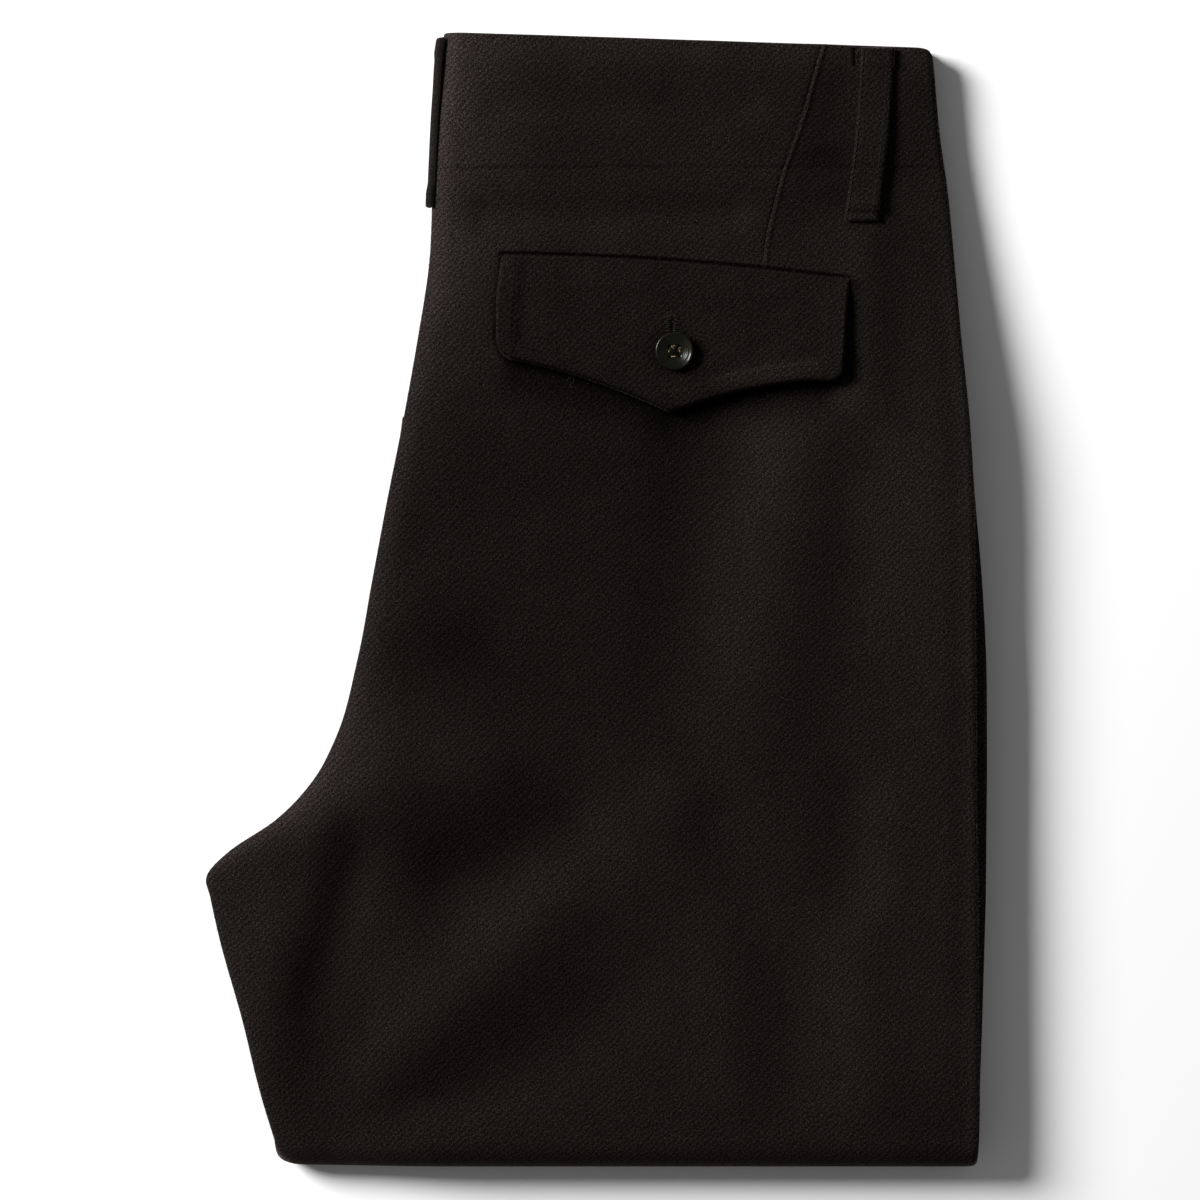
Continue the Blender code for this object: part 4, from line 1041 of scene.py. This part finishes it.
# Belt loops
loopLook = {
    "thick": 1.8, "seat": 0.4, "end": 8.0, "endHalf": 2.0, "width": 13.8, "arch": 1.9,
    "archRises": (0.5, 8.0), "archFalls": (6, 48), "stations": 90, "tip": 1.2,
    "sideDouble": 0.5, "dent": 0.5, "dentAt": 3.2, "dentHalf": 0.9,
    "backFrom": 228.0, "backTo": 161.0, "backAngles": (38, -26), "backStations": 60,
    "backDouble": 0.3, "dense": 0.8,
    "crown": 0.06, "rowDent": 0.10, "rowAt": 0.80, "rowHalf": 0.05,  # across the side loop
}
backLoopStand = makeTable("share near", [  # clearance along it, from its upper end
    (0.0, 0.7), (0.13, 1.3), (0.35, 0.8), (0.55, 0.45), (0.8, 0.35), (1.0, 0.35),
])
sideLoopLine = makeTable("y x", [
    (155.0, 108.6), (168.0, 110.5), (181.6, 112.3), (198.0, 114.0), (212.8, 115.0),
    (226.5, 115.9),
])
loopLow, loopHigh = sideLoopLine["y"][[0, -1]]


def loopThick(toEnd, more):
    # the strip's thickness, greater by this share where its end is turned under
    start, end = loopLook["end"] - loopLook["endHalf"], loopLook["end"] + loopLook["endHalf"]
    return loopLook["thick"] * (1 + more * (1 - smoothRise(toEnd, start, end)))


def loopTip(toEnd):
    # the share of the thickness kept towards a round end, as a quarter of an ellipse
    return np.sqrt(np.clip(1 - nearness(toEnd, loopLook["tip"]) ** 2, 0.02, 1))


def sideLoopSizes(y):
    # the side loop's distance to its end, its thickness and the dent of its cross stitches
    look, toEnd = loopLook, np.minimum(y - loopLow, loopHigh - y)
    dent = look["dent"] * bell(toEnd - look["dentAt"], look["dentHalf"])
    return toEnd, loopThick(toEnd, look["sideDouble"]), dent


def loopSection(look):
    # a flat strip's section with round edges: offsets across, and heights from 0 to 1
    t = np.linspace(-1, 1, 19)
    over = np.sqrt(np.clip(1 - np.abs(t) ** 12, 0, 1))
    crown = look["crown"] * (1 - t ** 2)
    crown = crown - look["rowDent"] * bell(np.abs(t) - look["rowAt"], look["rowHalf"])
    x = np.concatenate([t, t[-2:0:-1]]) * look["width"] / 2
    up = np.concatenate([0.5 + 0.5 * over + crown * over, (0.5 - 0.5 * over)[-2:0:-1]])
    return x[None, :], up[None, :]


def loopArch(y):
    # how far the loop stands off between its sewn ends, most in its lower half
    look = loopLook
    rise = smoothRise(y - loopLow, *look["archRises"])
    return look["arch"] * rise * smoothRise(loopHigh - y, *look["archFalls"])


def makeSideLoop(material):
    # the section carried up the waist: sewn flat at both ends, arched between them
    look = loopLook
    y = mix(loopLow, loopHigh, edgeDense(look["stations"], look["dense"]))[:, None]
    across, up = loopSection(look)
    x = readCurve(sideLoopLine, "y", "x", y) + across
    toEnd, thick, dent = sideLoopSizes(y)
    middle = look["seat"] + loopArch(y) + 0.5 * thick
    z = panelTop(x, y) + middle + (up - 0.5) * thick * loopTip(toEnd) - dent * (up > 0.6)
    points = np.stack([x, y + 0 * x, z], axis=-1)
    uv = np.stack([across + 0 * y, y + 0 * x], axis=-1)
    return ringPiece("wool_belt_loop_side", points, material, uv, sharp=75)


def sideLoopTop(x, y):
    # height of the side loop's upper face
    _, thick, dent = sideLoopSizes(y)
    return panelTop(x, y) + loopLook["seat"] + loopArch(y) + thick - dent


def makeBackLoop(material):
    # a strip carried round the soft fold at the centre back
    look = loopLook
    place = edgeDense(look["backStations"], look["dense"])
    y = mix(look["backFrom"], look["backTo"], place)
    s = sectionSizes(fold["kneeY"] - y)
    toEnd = np.minimum(look["backFrom"] - y, y - look["backTo"])[:, None]
    near = readCurve(backLoopStand, "share", "near", place)[:, None]
    t = np.linspace(0, 1, 15)
    angle = np.radians(mix(*look["backAngles"], t))
    over = np.sqrt(np.clip(1 - np.abs(2 * t - 1) ** 10, 0, 1))
    angles = np.concatenate([angle, angle[-2:0:-1]])[None, :]
    share = np.concatenate([0.5 - 0.5 * over, (0.5 + 0.5 * over)[-2:0:-1]])[None, :]
    out = near + loopThick(toEnd, look["backDouble"]) * (0.5 + (share - 0.5) * loopTip(toEnd))
    rise = np.where(np.sin(angles) >= 0, s["rollDepth"], s["stack"] - s["rollDepth"])
    x = s["left"] + s["rollWidth"] - (s["rollWidth"] + out) * np.cos(angles)
    depth = s["rollDepth"] - (rise + out) * np.sin(angles)
    uv = np.stack([lengthAcross(x, depth, 3), y[:, None] + 0 * x], axis=-1)
    return ringPiece("wool_belt_loop_back", placeSections(s, x, depth), material, uv, sharp=75)


# Button
buttonLook = {
    "x": 32.0, "y": 101.3, "radius": 7.6, "hole": 0.94, "holeAt": 1.65, "turn": 3.0,
    "segments": 96, "floor": 1.46, "threadRadius": 0.13, "threadDrop": 1.4,
    "drill": ((1.0, -1.0), (1.0, 1.2), (1.3, 1.6), (1.3, 3.6)),  # shares of hole, and heights
}
buttonThreads = {  # holes joined, height over the floor, and each strand's shift and dip
    "button_gold_thread": {
        "pairs": [(0, 1), (1, 2), (2, 3), (3, 0)], "lift": 0.40,
        "strands": [(-0.62, 0.34), (-0.42, 0.36), (-0.22, 0.40), (-0.02, 0.46)],
    },
    "button_thread": {
        "pairs": [(0, 2), (1, 3)], "lift": 0.50,
        "strands": [(-0.2, 0.06), (0.0, 0.06), (0.2, 0.06)],
    },
}
buttonProfile = makeTable("radius height", [
    (0.01, 0.35), (3.4, 0.3), (5.4, 0.0), (6.5, 0.15), (7.3, 0.55), (7.7, 1.1), (7.82, 1.7),
    (7.76, 2.3), (7.55, 2.66), (7.2, 2.82), (6.85, 2.76), (6.55, 2.52), (6.35, 2.34),
    (6.1, 2.28), (5.8, 2.28), (5.4, 2.13), (4.9, 1.91), (4.4, 1.72), (3.9, 1.59), (3.4, 1.51),
    (3.0, 1.47), (2.7, 1.46), (0.01, 1.46),
])


def buttonSeat():
    # the button rests on the highest stretch of flap below it
    turn = np.linspace(0, 2 * math.pi, 24)
    x = buttonLook["x"] + buttonLook["radius"] * np.cos(turn)
    y = buttonLook["y"] + buttonLook["radius"] * np.sin(turn)
    return float(flapTop(x, y).max()) + cloth["seamGap"]


def turnedPoints(profile, x, y, z, segments):
    # a profile of radius and height carried round an upright axis
    turn = np.arange(segments) * 2 * math.pi / segments
    r, h = profile["radius"][:, None], profile["height"][:, None]
    return np.stack([x + r * np.cos(turn), y + r * np.sin(turn), z + h + 0 * r * turn], axis=-1)


def makeButton(seat, material):
    # the turned profile, with four holes that open out towards the top
    look = buttonLook
    points = turnedPoints(buttonProfile, look["x"], look["y"], seat, look["segments"])
    button = ringPiece("horn_button", points, material, sharp=50)
    drill = makeTable("radius height", [(look["hole"] * wide, z) for wide, z in look["drill"]])
    for x, y in buttonHoles():
        cutOut(button, ringPiece("hole_cutter", turnedPoints(drill, x, y, seat, 20), material))
    return button


def buttonHoles():
    # centres of the four holes, on the corners of a square that is turned a little
    look = buttonLook
    turn = np.radians(45 + 90 * np.arange(4) + look["turn"])
    out = look["holeAt"] * math.sqrt(2)
    return np.stack([look["x"] + out * np.cos(turn), look["y"] + out * np.sin(turn)], axis=-1)


def makeButtonThread(name, seat, material):
    # strands side by side between holes, arched over the dish and dipping into the holes
    look, threads, holes = buttonLook, buttonThreads[name], buttonHoles()
    t = np.linspace(0, 1, 13)[:, None]
    groups = []
    for a, b in threads["pairs"]:
        aside = (holes[b] - holes[a])[::-1] * np.array([-1, 1])
        aside = aside / np.linalg.norm(aside)
        for shift, dip in threads["strands"]:
            line = mix(holes[a], holes[b], t) + shift * aside
            arch = threads["lift"] * np.sin(math.pi * t) ** 0.6
            drop = look["threadDrop"] * (bell(t, dip) + bell(1 - t, dip))
            high = seat + look["floor"] + arch - drop
            groups.append(np.concatenate([line, high], axis=1))
    return tubePiece(name, np.array(groups), look["threadRadius"], 8, material)


def makeButtonhole(material):
    # purl stitches: a fan round the eye, and short bars down both sides of the slit
    look = eyeLook
    fan = np.radians(np.linspace(*look["fan"], look["count"]))
    outward = np.stack([np.cos(fan), np.sin(fan)], axis=-1)
    eye = np.array([look["x"], look["y"]])
    far = (look["radius"] + look["stitch"]) * (1 + look["fanUneven"] * np.sin(9 * fan))
    start, end = eye + outward * look["radius"], eye + outward * far[:, None]
    down = np.arange(*look["bars"], look["barStep"])
    for side in (-1, 1):
        x = look["x"] + side * look["apart"] + 0 * down
        reach = look["stitch"] * (look["barShare"] + look["barUneven"] * np.sin(5 * down + side))
        start = np.concatenate([start, np.stack([x, look["y"] - 1 - down], axis=-1)])
        end = np.concatenate([end, np.stack([x + side * reach, look["y"] - 1.1 - down], axis=-1)])
    t = np.linspace(0, 1, 5)[None, :, None]
    line = mix(start[:, None, :], end[:, None, :], t)
    arch = look["arch"] * np.sin(math.pi * t[..., 0]) ** 0.7 - look["sunk"]
    high = flapTop(line[..., 0], line[..., 1]) + arch
    centres = np.concatenate([line, high[..., None]], axis=-1)
    return tubePiece("buttonhole_stitches", centres, look["threadRadius"], 6, material)


# Stitches on the loops and the dart, and threads lying on the cloth
loopEdges = {"left": 0.9, "right": 2.8, "low": 2.3, "high": 2.6}  # how far in each row runs


def sideLoopRows():
    # a row inside each long edge, and one across each sewn end
    half, inside = loopLook["width"] / 2, loopEdges
    y = np.linspace(loopLow + 1.5, loopHigh - 1.5, 60)
    middle = readCurve(sideLoopLine, "y", "x", y)
    rows = [np.stack([middle + over, y], axis=-1)
            for over in (inside["left"] - half, half - inside["right"])]
    for at in (loopLow + inside["low"], loopHigh - inside["high"]):
        centre = float(readCurve(sideLoopLine, "y", "x", np.array(at)))
        x = np.linspace(centre - half + 1, centre + half - 1, 12)
        rows.append(np.stack([x, at + 0 * x], axis=-1))
    return rows


tackLook = {"from": 104.4, "to": 106.4, "slope": 0.2, "low": 219.6, "high": 227.0, "step": 0.7}
dartSewn = {"low": 141, "high": 226, "beside": 0.1}


def tackRows():
    # short bars one above the other beside the loop's upper end
    look = tackLook
    return [[(look["from"], y), (look["to"], y - look["slope"])]
            for y in np.arange(look["low"], look["high"], look["step"])]


def dartRow():
    # ticks down the groove beside the dart's lip
    y = np.linspace(dartSewn["low"], dartSewn["high"], 80)
    return [np.stack([readCurve(dart, "y", "x", y) + dartSewn["beside"], y], axis=-1)]


strayLook = {"radius": 0.11, "over": 0.25, "uneven": 0.12, "stations": 40}
strayLines = [
    [(-12.0, 89.2), (-10.6, 90.8), (-9.0, 90.2), (-9.3, 88.4), (-10.8, 87.6), (-9.4, 86.4)],
    [(-92.4, -9.0), (-90.8, -10.4), (-89.3, -10.6), (-87.0, -8.0), (-85.4, -4.4),
     (-82.2, -1.0), (-77.5, -0.8)],
    [(106.4, 225.4), (107.6, 223.6), (106.8, 221.4), (108.2, 218.8)],
    [(107.4, 224.6), (106.6, 222.6), (107.8, 220.2)],
    [(67.4, 139.9), (68.5, 138.9), (68.9, 137.6)],
]


def strayThreads(material):
    # thread ends at the flap's lower left, by the loop and on the dart, and a curl of lint
    look = strayLook
    groups = []
    for line in strayLines:
        fine = alongLine(line, np.linspace(0, lineLength(line), look["stations"]))
        for _ in range(3):  # soften the corners
            fine[1:-1] = (fine[:-2] + 2 * fine[1:-1] + fine[2:]) / 4
        uneven = look["uneven"] * np.sin(np.linspace(0, 9, look["stations"]))
        high = panelTop(fine[:, 0], fine[:, 1]) + look["over"] + uneven
        groups.append(np.concatenate([fine, high[:, None]], axis=1))
    return tubePiece("stray_threads", np.array(groups), look["radius"], 6, material)


# Nap: short hairs that stand a little out of the cloth
hairLook = {
    "counts": {"face": 9000, "left": 3400, "right": 1500}, "length": (0.9, 2.4),
    "radius": (0.020, 0.018, 0.007), "lean": (4, 38), "bend": 0.35, "settle": 0.10,
    "sideways": {"left": (-0.9, 0.1), "right": (0.0, 0.35)},
    "rollAngles": (-0.15, 1.4), "edgeInset": (0.05, 1.2),
    "buttonClear": 2.0, "eyeClear": 5.0, "eyeDown": 2.0,
}


def topmost(points):
    # roots on the flap or the loop where those cover the panel
    x, y = points[:, 0], points[:, 1]
    across, down = flapSpot(x, y)
    inside = np.minimum(np.minimum(across, flapLook["width"] - across),
                        np.minimum(down, flapDepth(across) - down))
    over = np.abs(x - readCurve(sideLoopLine, "y", "x", y)) < loopLook["width"] / 2 - 0.5
    onLoop = over & (y > loopLow + 0.5) & (y < loopHigh)
    z = np.where(inside > 0.3, flapTop(x, y), points[:, 2])
    z = np.where(onLoop, sideLoopTop(x, y), z)
    return np.stack([x, y, z], axis=1)


def clearOfButton(x, y):
    # true where no hair would stand in the button or in the buttonhole's eye
    look = hairLook
    fromButton = np.hypot(x - buttonLook["x"], y - buttonLook["y"]) - buttonLook["radius"]
    fromEye = np.hypot(x - eyeLook["x"], y - eyeLook["y"] + look["eyeDown"])
    return (fromButton > look["buttonClear"]) & (fromEye > look["eyeClear"])


def surfaceSpots(count, where):
    # seeded places on the right back panel's outer face: section, place across and depth
    y = chance.uniform(fold["kneeY"], fold["waistY"] - 2, count)
    s = sectionSizes(fold["kneeY"] - y)
    if where == "left":
        angle = chance.uniform(*hairLook["rollAngles"], (count, 1))
        x = s["left"] + s["rollWidth"] * (1 - np.cos(angle))
        return s, x, s["rollDepth"] * (1 - np.sin(angle))
    if where == "right":
        x = s["right"] - chance.uniform(*hairLook["edgeInset"], (count, 1)) ** 2
    else:
        x = mix(s["left"] + s["rollWidth"], s["right"] - 1, chance.uniform(0, 1, (count, 1)))
    return s, x, 0 * x


def makeNap(material):
    # each hair: a bent line of two pieces from a spot, leaning a little off the surface
    look = hairLook
    groups = []
    for where, count in look["counts"].items():
        s, x, depth = surfaceSpots(count, where)
        here = placeSections(s, x, depth)[:, 0]
        beside = placeSections(s, x + 0.3, depth)[:, 0] - here
        outward = placeSections(s, x, depth - 0.4)[:, 0] - here
        if where == "face":
            clear = clearOfButton(here[:, 0], here[:, 1])
            here, beside, outward = topmost(here[clear]), beside[clear], outward[clear]
            count = len(here)
        else:
            out = chance.uniform(*look["sideways"][where], (count, 1))
            outward = outward + np.concatenate([out, 0 * out, 0.1 + 0 * out], axis=1)
            beside = np.tile([0.25, 0.0, 0.35], (count, 1))
        outward, beside = unit(outward), unit(beside)
        turn = chance.uniform(0, 2 * math.pi, (count, 1))
        flat = unit(np.cos(turn) * beside + np.sin(turn) * np.cross(outward, beside))
        lean = np.radians(chance.uniform(*look["lean"], (count, 1)))
        length = chance.uniform(*look["length"], (count, 1))
        way = np.cos(lean) * flat + np.sin(lean) * outward
        side = np.cross(way, outward) * chance.normal(0, look["bend"], (count, 1))
        middle = here + way * length * 0.5 + side * length * 0.35
        end = here + way * length - outward * length * look["settle"]
        groups.append(np.stack([here, middle, end], axis=1))
    return tubePiece("wool_nap", np.concatenate(groups), look["radius"], 3, material)


def finishPiece(piece, node=None):
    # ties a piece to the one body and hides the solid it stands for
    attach(piece, "root")
    if node:
        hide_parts(node)
    print(piece.name, len(piece.data.polygons), "faces")
    return piece


print("materials")
wool = woolMaterial("wool twill")
flapWool = woolMaterial("flap wool twill", dict(woolLook, sheen=flapLook["sheen"]))
thread = threadMaterial("dark thread")

print("cloth")
layers = finishPiece(makeLayers(wool), "folded_layers")
backRight = finishPiece(makeBackRight(wool), "back_right")
flap = finishPiece(makeFlap(flapWool), "pocket_flap")
sideLoop = finishPiece(makeSideLoop(wool), "belt_loop_side")
backLoop = finishPiece(makeBackLoop(wool), "belt_loop_back")

print("button")
seat = buttonSeat()
goldThread = threadMaterial("golden thread")
finishPiece(makeButton(seat, hornMaterial("dark horn")), "pocket_button")
finishPiece(makeButtonThread("button_gold_thread", seat, goldThread))
finishPiece(makeButtonThread("button_thread", seat, thread))

print("sewing and nap")
flapRow = makeStitches("flap_topstitch", [flapStitchLine()], flapTop, thread)
flapStitches = finishPiece(flapRow)
loopRows = makeStitches("loop_stitches", sideLoopRows(), sideLoopTop,
                        threadMaterial("loop thread"))
loopStitches = finishPiece(loopRows)
loopTack = finishPiece(makeStitches("loop_bar_tack", tackRows(), panelTop, thread))
dartStitches = finishPiece(makeStitches("dart_stitches", dartRow(), panelTop, thread))
buttonhole = finishPiece(makeButtonhole(threadMaterial("buttonhole thread")))
lint = finishPiece(strayThreads(threadMaterial("lint")))
nap = finishPiece(makeNap(threadMaterial("wool hair")))


# Floor, light and camera
studio = {
    "floor": 6.0, "floorColor": (0.80, 0.80, 0.80, 1), "floorLevel": -0.0003,
    "keyFrom": (-1.5, 0.75, 1.0), "keyDistance": 3.2, "keySize": 1.45, "keyPower": 258.0,
    "fill": 0.19, "cameraHeight": 2.5, "frameWidth": 0.492, "frameHeightAt": 0.018,
    "frameCentre": (0.00164, -0.00041),
}


def makeFloor():
    # one level square just under the part
    half = studio["floor"] / 2
    corners = [(x, y, studio["floorLevel"])
               for x, y in ((-half, -half), (half, -half), (half, half), (-half, half))]
    mesh = bpy.data.meshes.new("floor")
    mesh.from_pydata(corners, [], [(0, 1, 2, 3)])
    made, tree = nodeMaterial("pale floor")
    addShader(tree, Base_Color=studio["floorColor"], Roughness=0.9, Specular_IOR_Level=0.0)
    mesh.materials.append(made)
    floor = bpy.data.objects.new("floor", mesh)
    bpy.context.scene.collection.objects.link(floor)


def makeLight():
    # a large round lamp from the upper left, and an even white surround
    data = bpy.data.lights.new("key", "AREA")
    data.shape, data.size, data.energy = "DISK", studio["keySize"], studio["keyPower"]
    key = bpy.data.objects.new("key", data)
    towards = Vector(studio["keyFrom"]).normalized()
    key.location = towards * studio["keyDistance"]
    key.rotation_euler = towards.to_track_quat("Z", "Y").to_euler()
    bpy.context.scene.collection.objects.link(key)
    world = bpy.data.worlds.new("studio")
    world.use_nodes = True
    world.node_tree.nodes["Background"].inputs["Color"].default_value = (1, 1, 1, 1)
    world.node_tree.nodes["Background"].inputs["Strength"].default_value = studio["fill"]
    bpy.context.scene.world = world


def makeCamera():
    # straight above; the lens is the sensor's width times the distance over the frame's width
    data = bpy.data.cameras.new("camera")
    distance = studio["cameraHeight"] - studio["frameHeightAt"]
    data.sensor_width = 36.0
    data.lens = data.sensor_width * distance / studio["frameWidth"]
    data.clip_end = 20.0
    camera = bpy.data.objects.new("camera", data)
    camera.location = (*studio["frameCentre"], studio["cameraHeight"])
    bpy.context.scene.collection.objects.link(camera)
    bpy.context.scene.camera = camera


makeFloor()
makeLight()
makeCamera()
bpy.context.scene.view_settings.view_transform = "Standard"
print("stage")
